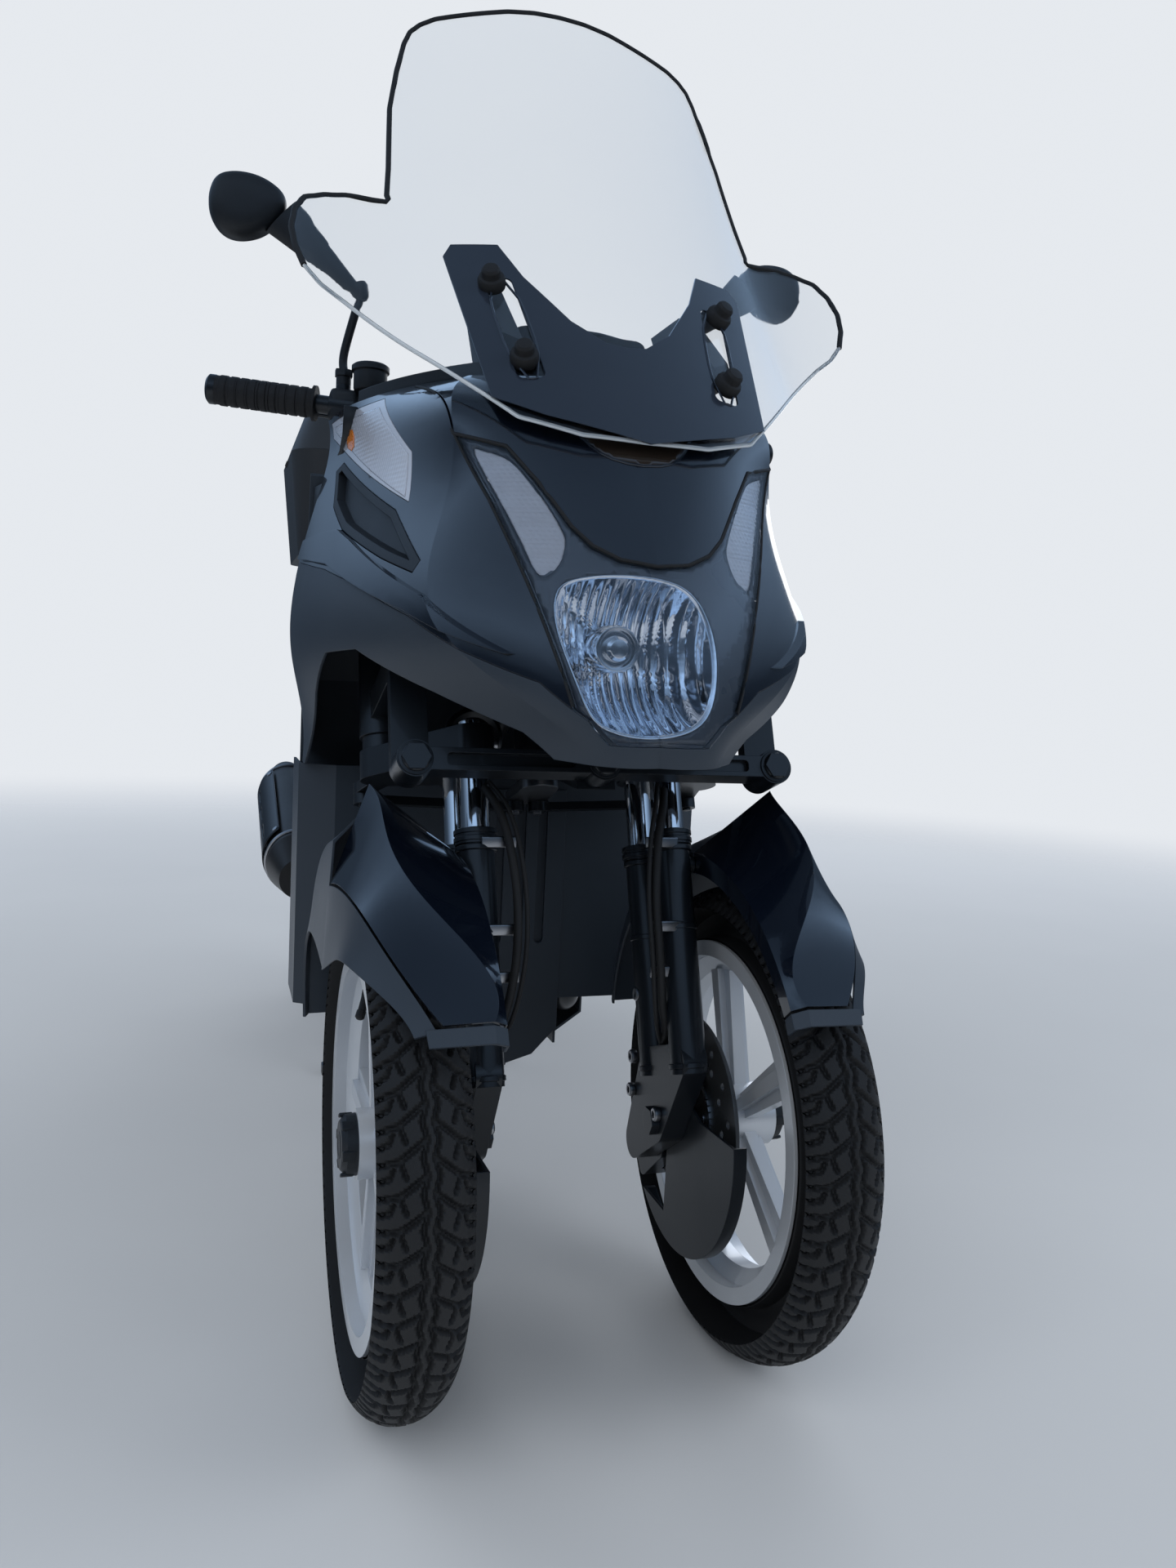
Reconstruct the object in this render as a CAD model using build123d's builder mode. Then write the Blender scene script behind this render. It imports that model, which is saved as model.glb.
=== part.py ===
from build123d import *
from math import cos, hypot, radians, sin, tan
import os

# A leaning three-wheel scooter: two steered front wheels on a parallelogram, one driven rear wheel.
# Millimetres. The front of the scooter faces -Y, its left side is +X, the ground is Z = 0.
# Places are drawn from the ground point midway between the front wheels.

# Overall sizes
wheelbase = 1310
track = 385
caster = 20
trail = 68
rear_wheel_lift = 5

# Wheels
front_tyre_radius = 250
front_tyre_width = 90
rear_tyre_radius = 251
rear_tyre_width = 110
front_rim_radius = 190
front_rim_width = 66
rear_rim_radius = 166
rear_rim_width = 82
rim_wall = 4
tyre_wall = 9
hub_half = 30
hub_radius = 34
rear_hub_half = 52
rear_hub_radius = 38
disc_radius = 110
disc_thickness = 4
disc_inset = 52.5
disc_plane_x = track / 2 - disc_inset
disc_carrier_radius = 44
axle_radius = 10
axle_nut = 15
hub_cap_radius = 30
hub_cap_length = 15.5
spoke_count = 5

# Clearances
shaft_clearance = 0.06
seat_gap = 0.3
bead_gap = 0.2
seam = 0.6

# Front linkage, measured along the steering axis (up) and forward of it
kingpin_inset = 7.5
kingpin_x = track / 2 - kingpin_inset
kingpin_z = 568
arm_pitch = 110
arm_front = 203
arm_depth = 30
arm_height = 22
arm_boss_radius = 18
arm_pin_radius = 9
link_front = 172.7
link_depth = 14.7
kingpin_radius = 15
kingpin_tube_radius = 25
kingpin_tube_low = 78
kingpin_tube_high = 188
fork_bridge_low = 30
fork_bridge_high = 62
fork_tube_x = 78
fork_tubes_forward = (98, 10)
fork_inner_radius = 15
fork_outer_radius = 19
fork_seal_down = 48
fork_leg_length = 300
fork_bracket_half = 13
caliper_y = 80
caliper_z = 192
cover_radius = 142
cover_wall = 3
# Side view of the gap in the disc cover, back and up from the axle
cover_opening = ((-160, 24), (-60, 18), (-8, 34), (10, 34), (22, -10), (22, -114), (160, -114), (160, 160), (-160, 160))

# Steering column and handlebar
column_y = 195
column_z = 640
stem_radius = 12.5
stem_up = 370
clamp_up = 330
clamp_top = 387
clamp_radius = 20
head_tube_radius = 27
head_tube_high = 175
bar_radius = 11
bar_bend = 40
bar_end = (367, 396, 1045)
bar_rise = (180, 345, 1030)
bar_middle = (90, 322, 1006)
grip_radius = 17
grip_length = 125
mirror_middle = (333, 337, 1243)
mirror_half_width = 44
mirror_half_height = 40
mirror_depth = 30

# Tie rods, measured from the kingpin
tie_rod_offset = 14
tie_rod_arm = 62
tie_rod_eye_radius = 11
tie_rod_pin_radius = 5
tie_rod_thickness = 12
tie_rod_play = 0.6
tie_arm_thickness = 12

# Front fenders: sections in planes through the wheel axle. Angle up from straight ahead, then how far
# outward of the wheel's middle and how far from the axle: inner edge, inner shoulder, ridge and outer edge
fender_wall = 3
fender_focus = 235
fender_sections = (
    (40, -63, 268, -62.6, 282, -50, 291, -8, 288),
    (52, -63, 268, -62.6, 284, -42, 294, 24, 284),
    (66, -63, 268, -62.6, 286, 4, 309, 44, 277),
    (80, -63, 268, -62.6, 287, 20, 330, 55, 268),
    (93, -63, 266, -62.6, 288, 25, 356, 60, 258),
)
# The lip under the blade's front edge, in the same columns
tip_sections = ((36.5, -63, 266, -62.6, 280, -50, 288, 4, 285), (39.5, -63, 268, -62.6, 281, -50, 290, 6, 286))
# The band under the blade's outer edge: its outer edge, then its low edge
guard_sections = (
    (39, -3, 286.5, 14, 276),
    (44, 8, 284.5, 24, 272),
    (52, 25.5, 282, 45, 260),
    (66, 45.5, 275, 61, 228),
    (80, 56.5, 266, 65, 192),
    (93.4, 61.5, 256, 66, 176),
)
# Rear of the fender: inner edge, inner shoulder, crown, outer shoulder and outer edge
flap_sections = (
    (93.4, -63, 266, -62.6, 288, 24, 336, 58, 300, 66, 176),
    (112, -63, 264, -62.6, 286, 10, 312, 60, 292, 66, 196),
    (140, -63, 262, -60, 280, 0, 290, 60, 284, 66, 258),
    (168, -60, 259, -58, 268, 0, 272, 58, 269, 63, 260),
)

# Frame and engine
bin_half_width = 90
rail_spread = 30
frame_half_width = bin_half_width + rail_spread
frame_tube_radius = 17
frame_floor_z = 262
seat_rail_half = bin_half_width + 5
seat_rail_z = 690
seat_rail_end_y = wheelbase + 90
rail_knee_y = 900
rail_knee_z = 540
rail_foot_y = 770
rail_bend = 60
cross_tube_radius = 11
nose_bar_half = 15
nose_bar_low = 768
nose_bar_high = 796
engine_half_width = 61.5
engine_front = 800
drive_front_y = 970
drive_front_z = 285
swing_arm_thickness = 18
shock_x = seat_rail_half + 9
drive_case_width = shock_x + 29.5 - engine_half_width
shock_low_y = wheelbase + 16
shock_low_z = 352
shock_length = 288
shock_radius = 20
shock_eye_radius = 14
shock_eye_half = 12
shock_pin_radius = 6
muffler_x = -208
muffler_y = 1010
muffler_z = 332
muffler_length = 450
muffler_rise = 18
muffler_half = 54
muffler_half_height = 62
port_y = 850
port_z = 300
pipe_radius = 16

# Stands
stand_y = 950
stand_z = 172
stand_forward = 35
stand_tube_half = 52
stand_foot_x = 150
stand_pin_radius = 6
side_stand_x = frame_half_width + 20
side_stand_y = 770
side_stand_z = 200
side_stand_length = 180
side_stand_tilt = 15

# Seat and luggage
seat_front = 775
seat_rear = 1385
seat_z = 780
seat_half = 140
seat_base_half = 120
bin_length = 315
bin_middle_y = 962
bin_low = 470
bin_high = 728
seat_hinge_y = 782
seat_hinge_z = 722
seat_pin_radius = 4
carrier_thickness = 13
carrier_leg_x = seat_rail_half - 5
case_low = 955
case_seam = 1172
case_high = 1285
case_half_width = 212
case_length = 390
case_middle_y = wheelbase + 290
case_wall = 4
case_taper = 20
lid_taper = 40
lid_pin_radius = 3

# Body panels
panel = 3
belly_half = frame_half_width + 30
belly_low = 212
belly_front = 430
belly_length = 310
floor_z = 306
floor_thickness = 12
floor_front = 426
floor_rear = 736
floor_half = 232
shield_low = 300
shield_front = 302
shield_half_width = 262
shield_corner = 220
inner_panel_y = 421
inner_panel_half = 254
inner_panel_top_y = 367
inner_panel_high = 950
grille_front = 297
grille_half = 72
grille_high = 574
nose_back_y = 330
# Height, then half the plan outline: tip, nose arc, corner, flank arc and the width at the back
nose_sections = (
    (600, -192, 60, -180, 105, -150, 200, 20, 258),
    (700, -201, 65, -188, 118, -155, 222, 20, 268),
    (760, -190, 95, -162, 178, -100, 250, 60, 276),
    (830, -159, 100, -133, 178, -60, 240, 90, 270),
    (930, -114, 90, -95, 160, -48, 208, 100, 245),
    (1010, -24, 62, -8, 114, 28, 185, 134, 238),
)
# Side view outlines, along the scooter and up
arch_line = ((-230, 640), (-157, 646), (-140, 668), (-75, 698), (20, 735), (91, 731), (167, 689), (300, 601), (340, 601))
split_line = ((340, 842), (222, 829), (133, 818), (34, 798), (-63, 766), (-136, 729), (-168, 712), (-188, 682),
              (-194, 662), (-230, 658))
blade_line = ((-154, 735), (-78, 785), (84, 845), (132, 860), (290, 862), (290, 840), (217, 834), (123, 823), (-63, 771))
signal_line = ((5, 877), (24, 927), (140, 1000), (312, 1003), (306, 985))
vent_line = ((-50, 806), (-53, 817), (22, 870), (222, 944), (250, 938), (200, 892), (130, 860), (8, 822))
# Front view outlines of one half, to the side and up
lens_half = ((0, 640), (66, 660), (80, 704), (108, 792), (135, 872), (160, 934), (119, 921), (95, 887), (71, 848),
             (55, 832), (32, 821), (0, 817))
shield_half = ((0, 817), (32, 821), (55, 832), (71, 848), (95, 887), (119, 921), (160, 934), (172, 1012), (0, 1012))
horn_half = ((98, 812), (116, 836), (136, 884), (150, 924), (120, 914), (98, 884), (84, 848), (86, 816))
blade_height = 5
lamp_back_y = -100
lamp_z = 740
lamp_radius = 62
# Place along the scooter, half width, lowest and highest
tail_sections = (
    (795, frame_half_width + 30, 440, 735), (1000, frame_half_width + 50, 470, 742),
    (wheelbase - 10, frame_half_width + 34, 580, 792), (wheelbase + 250, 85, 680, 800),
)
dash_high = 1022
dash_rear = 215

# Screen: height and place of its middle, then its plan curve
screen_line = ((880, -168), (1025, -57), (1150, 38), (1290, 135), (1500, 248))
screen_arc_x = 190
screen_arc_y = 51
screen_wing = (245, 66)
screen_edge = (306, 50)
screen_thickness = 4
visor_thickness = 3

# Derived places
lean = radians(caster)
kingpin_y = kingpin_z * tan(lean) - trail
half_track = track / 2
rear_axle_z = rear_tyre_radius + rear_wheel_lift
case_rear = case_middle_y + case_length / 2
stored_middle_y = (case_rear - front_tyre_radius) / 2
lid_hinge_y = case_middle_y - case_length / 2 - 8
lid_hinge_z = case_seam + 2
column_back = cos(lean) * (column_y - kingpin_y) - sin(lean) * (column_z - kingpin_z)
column_rise = sin(lean) * (column_y - kingpin_y) + cos(lean) * (column_z - kingpin_z)
head_tube_low = fork_bridge_low + tie_arm_thickness + seat_gap - column_rise
arm_back = arm_front - arm_depth
pin_end = arm_front + 6
leg_x = kingpin_x - fork_tube_x
leg_outer = leg_x + fork_bracket_half
shield_high = nose_sections[0][0] - seam
hub_outer = half_track + hub_half

os.makedirs("parts", exist_ok=True)


def save(piece, name):
    """Label one finished piece and write it, with the middle of the length at Y = 0."""
    piece.part = piece.part.moved(Location((0, -stored_middle_y, 0)))
    piece.part.label = name
    export_step(piece.part, f"parts/{name}.step")


def kingpin_plane(side, up=0.0):
    """Plane square to one wheel's steering axis. Its Y points rearward."""
    axis = (0, sin(lean), cos(lean))
    origin = (side * kingpin_x, kingpin_y + up * axis[1], kingpin_z + up * axis[2])
    return Plane(origin=origin, x_dir=(1, 0, 0), z_dir=axis)


def linkage_plane(forward):
    """Plane facing forward, square to the caster, on the centreline. Its Y points up the steering axis."""
    origin = (0, kingpin_y - forward * cos(lean), kingpin_z + forward * sin(lean))
    return Plane(origin=origin, x_dir=(1, 0, 0), z_dir=(0, -cos(lean), sin(lean)))


def yz_point(forward, up):
    """Place in the side view, given forward of the steering axes and up along them."""
    y = kingpin_y - forward * cos(lean) + up * sin(lean)
    return (y, kingpin_z + forward * sin(lean) + up * cos(lean))


def column_plane(up=0.0):
    """Plane square to the steering column. Its Y points rearward."""
    axis = (0, sin(lean), cos(lean))
    return Plane(origin=(0, column_y + up * axis[1], column_z + up * axis[2]), x_dir=(1, 0, 0), z_dir=axis)


def stand_plane(out):
    """Plane square to the side stand's tilted pin, a distance out along the pin. Its X points rearward."""
    axis = (cos(radians(side_stand_tilt)), 0, sin(radians(side_stand_tilt)))
    origin = (side_stand_x + out * axis[0], side_stand_y, side_stand_z + out * axis[2])
    return Plane(origin=origin, x_dir=(0, 1, 0), z_dir=axis)


def side_plane(x):
    """Upright plane at one width, with Y along the scooter and Z up."""
    return Plane.YZ.offset(x)


def cross_plane(y):
    """Upright plane across the scooter, with X to the side and Z up."""
    return Plane.XZ.offset(-y)


def both_sides(half):
    """An outline from the points of its right half, listed from the bottom to the top of the centreline."""
    return [*half, *[(-x, z) for x, z in reversed(half) if x]]


def prism(outline, plane, depth, grow=0.0):
    """Solid through an outline, to both sides of its plane, with the outline grown by a small amount."""
    with BuildPart(mode=Mode.PRIVATE) as made:
        with BuildSketch(plane):
            with BuildLine():
                Polyline(*outline, close=True)
            make_face()
            if grow:
                offset(amount=grow, kind=Kind.INTERSECTION)
        extrude(amount=depth, both=True)
    return made.part


def block(x, y, z, mode=Mode.ADD):
    """Box between two places on each axis, inside the part that is being built."""
    with Locations(((x[0] + x[1]) / 2, (y[0] + y[1]) / 2, (z[0] + z[1]) / 2)):
        Box(abs(x[1] - x[0]), abs(y[1] - y[0]), abs(z[1] - z[0]), mode=mode)


def axle_plane(side, angle):
    """Plane through one front wheel's axle. Its X points outward, its Y away from the axle."""
    turn = radians(angle)
    return Plane(
        origin=(side * half_track, 0, front_tyre_radius), x_dir=(side, 0, 0),
        z_dir=(0, -side * sin(turn), -side * cos(turn)),
    )


def inward(u, r):
    """The place one wall thickness inside a place on the fender's outer face."""
    reach = hypot(u, r - fender_focus)
    return (u * (1 - fender_wall / reach), r - (r - fender_focus) * fender_wall / reach)


def fender_shell(side, rows):
    """Thin shell through outlines in planes that turn about the wheel's axle."""
    with BuildPart(mode=Mode.PRIVATE) as made:
        for angle, *row in rows:
            outer = list(zip(row[::2], row[1::2]))
            with BuildSketch(axle_plane(side, angle)):
                with BuildLine():
                    Polyline(*outer, *[inward(u, r) for u, r in reversed(outer)], close=True)
                make_face()
        loft()
    return made.part


# Wheels

def wheel(side, centre_x, axle_y, axle_z, rim_radius, rim_width, half_hub, hub_outer_radius):
    """Cast wheel: barrel with two flanges, hub and tapering ribbed spokes."""
    half = rim_width / 2
    bead = rim_radius - 12
    well = bead - 16
    outward = 1 if side >= 0 else -1
    hub_plane = Plane(origin=(centre_x, axle_y, axle_z), x_dir=(0, 1, 0), z_dir=(outward, 0, 0))
    with BuildPart() as made:
        with BuildSketch(Plane(origin=(centre_x, axle_y, axle_z), x_dir=(outward, 0, 0), z_dir=(0, -1, 0))):
            with BuildLine():
                Polyline(
                    (-half, rim_radius), (-half + rim_wall, rim_radius), (-half + rim_wall, bead),
                    (-half + 14, bead), (-half + 22, well), (half - 22, well), (half - 14, bead),
                    (half - rim_wall, bead), (half - rim_wall, rim_radius), (half, rim_radius),
                    (half, bead - 5), (half - 14, bead - 5), (half - 24, well - 5),
                    (-half + 24, well - 5), (-half + 14, bead - 5), (-half, bead - 5), close=True,
                )
            make_face()
        revolve(axis=Axis((centre_x, axle_y, axle_z), (1, 0, 0)))
        with BuildSketch(hub_plane.offset(-half_hub)):
            Circle(hub_outer_radius)
        extrude(amount=2 * half_hub)
        for thickness, narrow, wide in ((14, 26, 44), (30, 11, 17)):
            with BuildSketch(hub_plane.offset(-thickness / 2)):
                with PolarLocations(0, spoke_count):
                    Polygon(
                        (hub_outer_radius - 6, -narrow / 2), (well - 4, -wide / 2), (well - 4, wide / 2),
                        (hub_outer_radius - 6, narrow / 2), align=None,
                    )
            extrude(amount=thickness)
        with BuildSketch(hub_plane.offset(-half_hub)):
            Circle(axle_radius + shaft_clearance)
        extrude(amount=2 * half_hub, mode=Mode.SUBTRACT)
    return made


def tyre(centre_x, axle_y, axle_z, radius, width, rim_radius, rim_width):
    """Tyre with a round crown, as a hollow ring whose beads sit inside the rim flanges."""
    half = width / 2
    foot = rim_width / 2 - rim_wall - bead_gap
    bead = rim_radius - 12 + bead_gap
    shoulder = radius - half * 0.72
    plane = Plane(origin=(centre_x, axle_y, axle_z), x_dir=(1, 0, 0), z_dir=(0, -1, 0))
    axle = Axis((centre_x, axle_y, axle_z), (1, 0, 0))
    with BuildPart() as made:
        with BuildSketch(plane):
            with BuildLine():
                Line((-foot, bead), (-foot, rim_radius + 2))
                ThreePointArc((-foot, rim_radius + 2), (-half, shoulder - 8), (-half + 4, shoulder + 8))
                ThreePointArc((-half + 4, shoulder + 8), (0, radius), (half - 4, shoulder + 8))
                ThreePointArc((half - 4, shoulder + 8), (half, shoulder - 8), (foot, rim_radius + 2))
                Line((foot, rim_radius + 2), (foot, bead))
                Line((foot, bead), (-foot, bead))
            make_face()
        revolve(axis=axle)
        with BuildSketch(plane):
            with BuildLine():
                Polyline(
                    (-foot + tyre_wall, bead - 1), (foot - tyre_wall, bead - 1),
                    (half - tyre_wall - 2, shoulder), (0, radius - tyre_wall - 3),
                    (-half + tyre_wall + 2, shoulder), close=True,
                )
            make_face()
        revolve(axis=axle, mode=Mode.SUBTRACT)
    return made


for name, side in (("left", 1), ("right", -1)):
    wheel_x = side * half_track
    front_rim = wheel(
        side, wheel_x, 0, front_tyre_radius, front_rim_radius, front_rim_width, hub_half, hub_radius
    )
    save(front_rim, f"front_rim_{name}")
    front_tyre = tyre(
        wheel_x, 0, front_tyre_radius, front_tyre_radius, front_tyre_width, front_rim_radius, front_rim_width
    )
    save(front_tyre, f"front_tyre_{name}")

    with BuildPart() as front_disc:
        with BuildSketch(side_plane(side * (disc_plane_x - disc_thickness / 2))):
            with Locations((0, front_tyre_radius)):
                Circle(disc_radius)
                Circle(disc_carrier_radius, mode=Mode.SUBTRACT)
                for ring, count in ((92, 15), (76, 15)):
                    with PolarLocations(ring, count, start_angle=ring):
                        Circle(4, mode=Mode.SUBTRACT)
        extrude(amount=side * disc_thickness)
        with BuildSketch(side_plane(side * (disc_plane_x - disc_thickness / 2))):
            with Locations((0, front_tyre_radius)):
                Circle(disc_carrier_radius)
                Circle(axle_radius + shaft_clearance, mode=Mode.SUBTRACT)
        extrude(amount=side * (half_track - hub_half - disc_plane_x + disc_thickness / 2))
    save(front_disc, f"front_disc_{name}")

    with BuildPart() as hub_cap:
        with BuildSketch(Plane(
            origin=(side * hub_outer, 0, front_tyre_radius), x_dir=(side, 0, 0), z_dir=(0, -side, 0)
        )):
            with BuildLine():
                Polyline(
                    (0, axle_nut + 6), (0, hub_cap_radius), (hub_cap_length - 5, hub_cap_radius - 1),
                    (hub_cap_length, hub_cap_radius - 7), (hub_cap_length, 0), (hub_cap_length - 4, 0),
                    (hub_cap_length - 4, axle_nut + 6), close=True,
                )
            make_face()
        revolve(axis=Axis((0, 0, front_tyre_radius), (1, 0, 0)))
    save(hub_cap, f"hub_cap_{name}")

rear_rim = wheel(
    1, 0, wheelbase, rear_axle_z, rear_rim_radius, rear_rim_width, rear_hub_half, rear_hub_radius
)
save(rear_rim, "rear_rim")
rear_tyre = tyre(0, wheelbase, rear_axle_z, rear_tyre_radius, rear_tyre_width, rear_rim_radius, rear_rim_width)
save(rear_tyre, "rear_tyre")

# Front linkage: two arms across the front, a knuckle on each end, and a fork that turns in each knuckle

with BuildPart() as lean_arms:
    for height in (0, arm_pitch):
        with BuildSketch(linkage_plane(arm_back)):
            with Locations((0, height)):
                Rectangle(2 * kingpin_x, arm_height)
            with Locations((-kingpin_x, height), (0, height), (kingpin_x, height)):
                Circle(arm_boss_radius)
                Circle(arm_pin_radius + shaft_clearance, mode=Mode.SUBTRACT)
        extrude(amount=arm_depth)
        with BuildSketch(linkage_plane(arm_front - 6)):
            with Locations((-kingpin_x / 2, height), (kingpin_x / 2, height)):
                RectangleRounded(kingpin_x - 60, arm_height - 10, 4)
        extrude(amount=6, mode=Mode.SUBTRACT)
save(lean_arms, "lean_arms")

with BuildPart() as knuckles:
    for side in (1, -1):
        with BuildSketch(kingpin_plane(side, kingpin_tube_low)):
            Circle(kingpin_tube_radius)
        extrude(amount=kingpin_tube_high - kingpin_tube_low)
        with BuildSketch(kingpin_plane(side, arm_pitch - 15)):
            with Locations((0, -link_front / 2)):
                Rectangle(30, link_front)
        extrude(amount=30)
        with BuildSketch(linkage_plane(link_front - link_depth)):
            with Locations((side * kingpin_x, arm_pitch / 2)):
                SlotCenterToCenter(arm_pitch, 2 * arm_boss_radius, rotation=90)
        extrude(amount=link_depth)
        with BuildSketch(linkage_plane(link_front)):
            with Locations((side * kingpin_x, 0), (side * kingpin_x, arm_pitch)):
                Circle(arm_pin_radius)
        extrude(amount=pin_end - link_front)
        with BuildSketch(linkage_plane(arm_front + seat_gap)):
            with Locations((side * kingpin_x, 0), (side * kingpin_x, arm_pitch)):
                RegularPolygon(arm_pin_radius + 5, 6)
        extrude(amount=7)
        with BuildSketch(kingpin_plane(side, kingpin_tube_low)):
            Circle(kingpin_radius + shaft_clearance)
        extrude(amount=kingpin_tube_high - kingpin_tube_low, mode=Mode.SUBTRACT)
save(knuckles, "knuckles")

for name, side in (("left", 1), ("right", -1)):
    tube_places = [(-side * fork_tube_x, -forward) for forward in fork_tubes_forward]
    eye_place = (side * tie_rod_offset, tie_rod_arm)
    with BuildPart() as bridge:
        with BuildSketch(kingpin_plane(side, fork_bridge_low)):
            with Locations(eye_place):
                Circle(tie_rod_eye_radius)
            with BuildLine():
                Polyline((-12, 10), (12, 10), (side * tie_rod_offset + 10, tie_rod_arm),
                         (side * tie_rod_offset - 10, tie_rod_arm), close=True)
            make_face()
        extrude(amount=tie_arm_thickness)
        with BuildSketch(kingpin_plane(side, fork_bridge_low)):
            Circle(kingpin_tube_radius)
            with Locations(*tube_places):
                Circle(fork_outer_radius + 4)
            make_hull()
        extrude(amount=fork_bridge_high - fork_bridge_low)
        with BuildSketch(kingpin_plane(side, fork_bridge_high)):
            Circle(kingpin_tube_radius - 3)
        extrude(amount=kingpin_tube_low - fork_bridge_high - seat_gap)
        with BuildSketch(kingpin_plane(side, fork_bridge_high)):
            Circle(kingpin_radius)
        extrude(amount=kingpin_tube_high - fork_bridge_high + 8)
        with BuildSketch(kingpin_plane(side, kingpin_tube_high + seat_gap)):
            RegularPolygon(kingpin_radius + 6, 6)
        extrude(amount=10)
        with BuildSketch(kingpin_plane(side, fork_bridge_low)):
            with Locations(eye_place):
                Circle(tie_rod_pin_radius)
        extrude(amount=-tie_rod_thickness - 3)
        with BuildSketch(kingpin_plane(side, fork_bridge_low)):
            with Locations(*tube_places):
                Circle(fork_inner_radius + shaft_clearance)
        extrude(amount=fork_bridge_high - fork_bridge_low, mode=Mode.SUBTRACT)

    # Sliders with their dust collars, the axle clamp, the brake lug, the fender bosses and the stub axle
    with BuildPart() as legs:
        with BuildSketch(kingpin_plane(side, -fork_seal_down)):
            with Locations(*tube_places):
                Circle(fork_outer_radius)
        extrude(amount=-(fork_leg_length - fork_seal_down))
        with BuildSketch(kingpin_plane(side, -fork_seal_down)):
            with Locations(*tube_places):
                Circle(fork_outer_radius + 2.5)
        extrude(amount=-14)
        with BuildSketch(side_plane(side * leg_x)):
            for forward in fork_tubes_forward:
                with Locations(yz_point(forward, -fork_leg_length + 12)):
                    Circle(fork_outer_radius)
            with Locations((0, front_tyre_radius)):
                Circle(24)
            with Locations((caliper_y - 20, caliper_z + 12)):
                Circle(20)
            make_hull()
        extrude(amount=fork_bracket_half, both=True)
        fender_inner_x = half_track + fender_sections[0][1]
        for forward, down in zip(fork_tubes_forward, (82, 72)):
            with BuildSketch(side_plane(side * (leg_x + 10))):
                with Locations(yz_point(forward, -down)):
                    Circle(9)
            extrude(amount=side * (fender_inner_x - seat_gap - leg_x - 10))
        with BuildSketch(side_plane(side * leg_x)):
            with Locations((0, front_tyre_radius)):
                Circle(axle_radius)
        extrude(amount=side * (hub_outer + 8 - leg_x))
        with BuildSketch(side_plane(side * (hub_outer + seat_gap))):
            with Locations((0, front_tyre_radius)):
                RegularPolygon(axle_nut, 6)
        extrude(amount=side * 8)
        with BuildSketch(side_plane(side * (leg_x - fork_bracket_half))):
            with Locations((0, front_tyre_radius)):
                RegularPolygon(axle_nut, 6)
        extrude(amount=-side * 8)
        add(bridge.part)
    save(legs, f"fork_{name}")

    with BuildPart() as inner_tubes:
        with BuildSketch(kingpin_plane(side, fork_bridge_high + 6)):
            with Locations(*tube_places):
                Circle(fork_inner_radius)
        extrude(amount=-(fork_bridge_high + 6 + fork_seal_down))
    save(inner_tubes, f"fork_tubes_{name}")


    # Caliper over the disc, seated on the lug, and the plastic cover that wraps the disc's front and foot
    with BuildPart() as brake:
        with BuildSketch(Plane(
            origin=(side * (leg_outer + seat_gap), caliper_y, caliper_z), x_dir=(0, 0.766, -0.643), z_dir=(side, 0, 0)
        )):
            RectangleRounded(80, 58, 10)
        extrude(amount=disc_plane_x + 16 - leg_outer - seat_gap)
        with BuildSketch(side_plane(side * (disc_plane_x - disc_thickness / 2 - 1.5))):
            with Locations((0, front_tyre_radius)):
                Circle(disc_radius + 4)
        extrude(amount=side * (disc_thickness + 3), mode=Mode.SUBTRACT)
        for inner, depth in ((axle_radius + 4, cover_wall), (cover_radius - cover_wall, 14)):
            with BuildSketch(side_plane(side * (leg_outer + seat_gap))):
                with Locations((0, front_tyre_radius)):
                    Circle(cover_radius)
                    Circle(inner, mode=Mode.SUBTRACT)
                with BuildLine():
                    Polyline(*[(y, front_tyre_radius + up) for y, up in cover_opening], close=True)
                make_face(mode=Mode.SUBTRACT)
            extrude(amount=side * depth)
    save(brake, f"brake_{name}")

    # Fender: a painted blade, and under it a grey band that turns into the flap behind
    with BuildPart() as fender:
        add(fender_shell(side, fender_sections))
    save(fender, f"front_fender_{name}")

    with BuildPart() as guard:
        add(fender_shell(side, tip_sections))
        add(fender_shell(side, guard_sections))
        add(fender_shell(side, flap_sections))
    save(guard, f"fender_guard_{name}")

    with BuildPart() as tie_rod:
        rod_low = fork_bridge_low - seat_gap - tie_rod_thickness
        arm_eye = (side * (tie_rod_offset - kingpin_x), tie_rod_arm + column_back)
        with BuildSketch(kingpin_plane(side, rod_low)):
            with Locations(eye_place, arm_eye):
                Circle(tie_rod_eye_radius)
        extrude(amount=tie_rod_thickness)
        with BuildSketch(kingpin_plane(side, rod_low + 1)):
            with BuildLine():
                Polyline(
                    (eye_place[0], eye_place[1] - 5), (arm_eye[0], arm_eye[1] - 5),
                    (arm_eye[0], arm_eye[1] + 5), (eye_place[0], eye_place[1] + 5), close=True,
                )
            make_face()
        extrude(amount=tie_rod_thickness - 2)
        with BuildSketch(kingpin_plane(side, rod_low)):
            with Locations(eye_place):
                Circle(tie_rod_pin_radius + tie_rod_play)
            with Locations(arm_eye):
                Circle(tie_rod_pin_radius + shaft_clearance)
        extrude(amount=tie_rod_thickness, mode=Mode.SUBTRACT)
    save(tie_rod, f"tie_rod_{name}")

# Frame, engine and what carries the rear wheel

shock_turn = radians(11.5)
shock_high_y = shock_low_y + shock_length * sin(shock_turn)
shock_high_z = shock_low_z + shock_length * cos(shock_turn)

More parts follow.
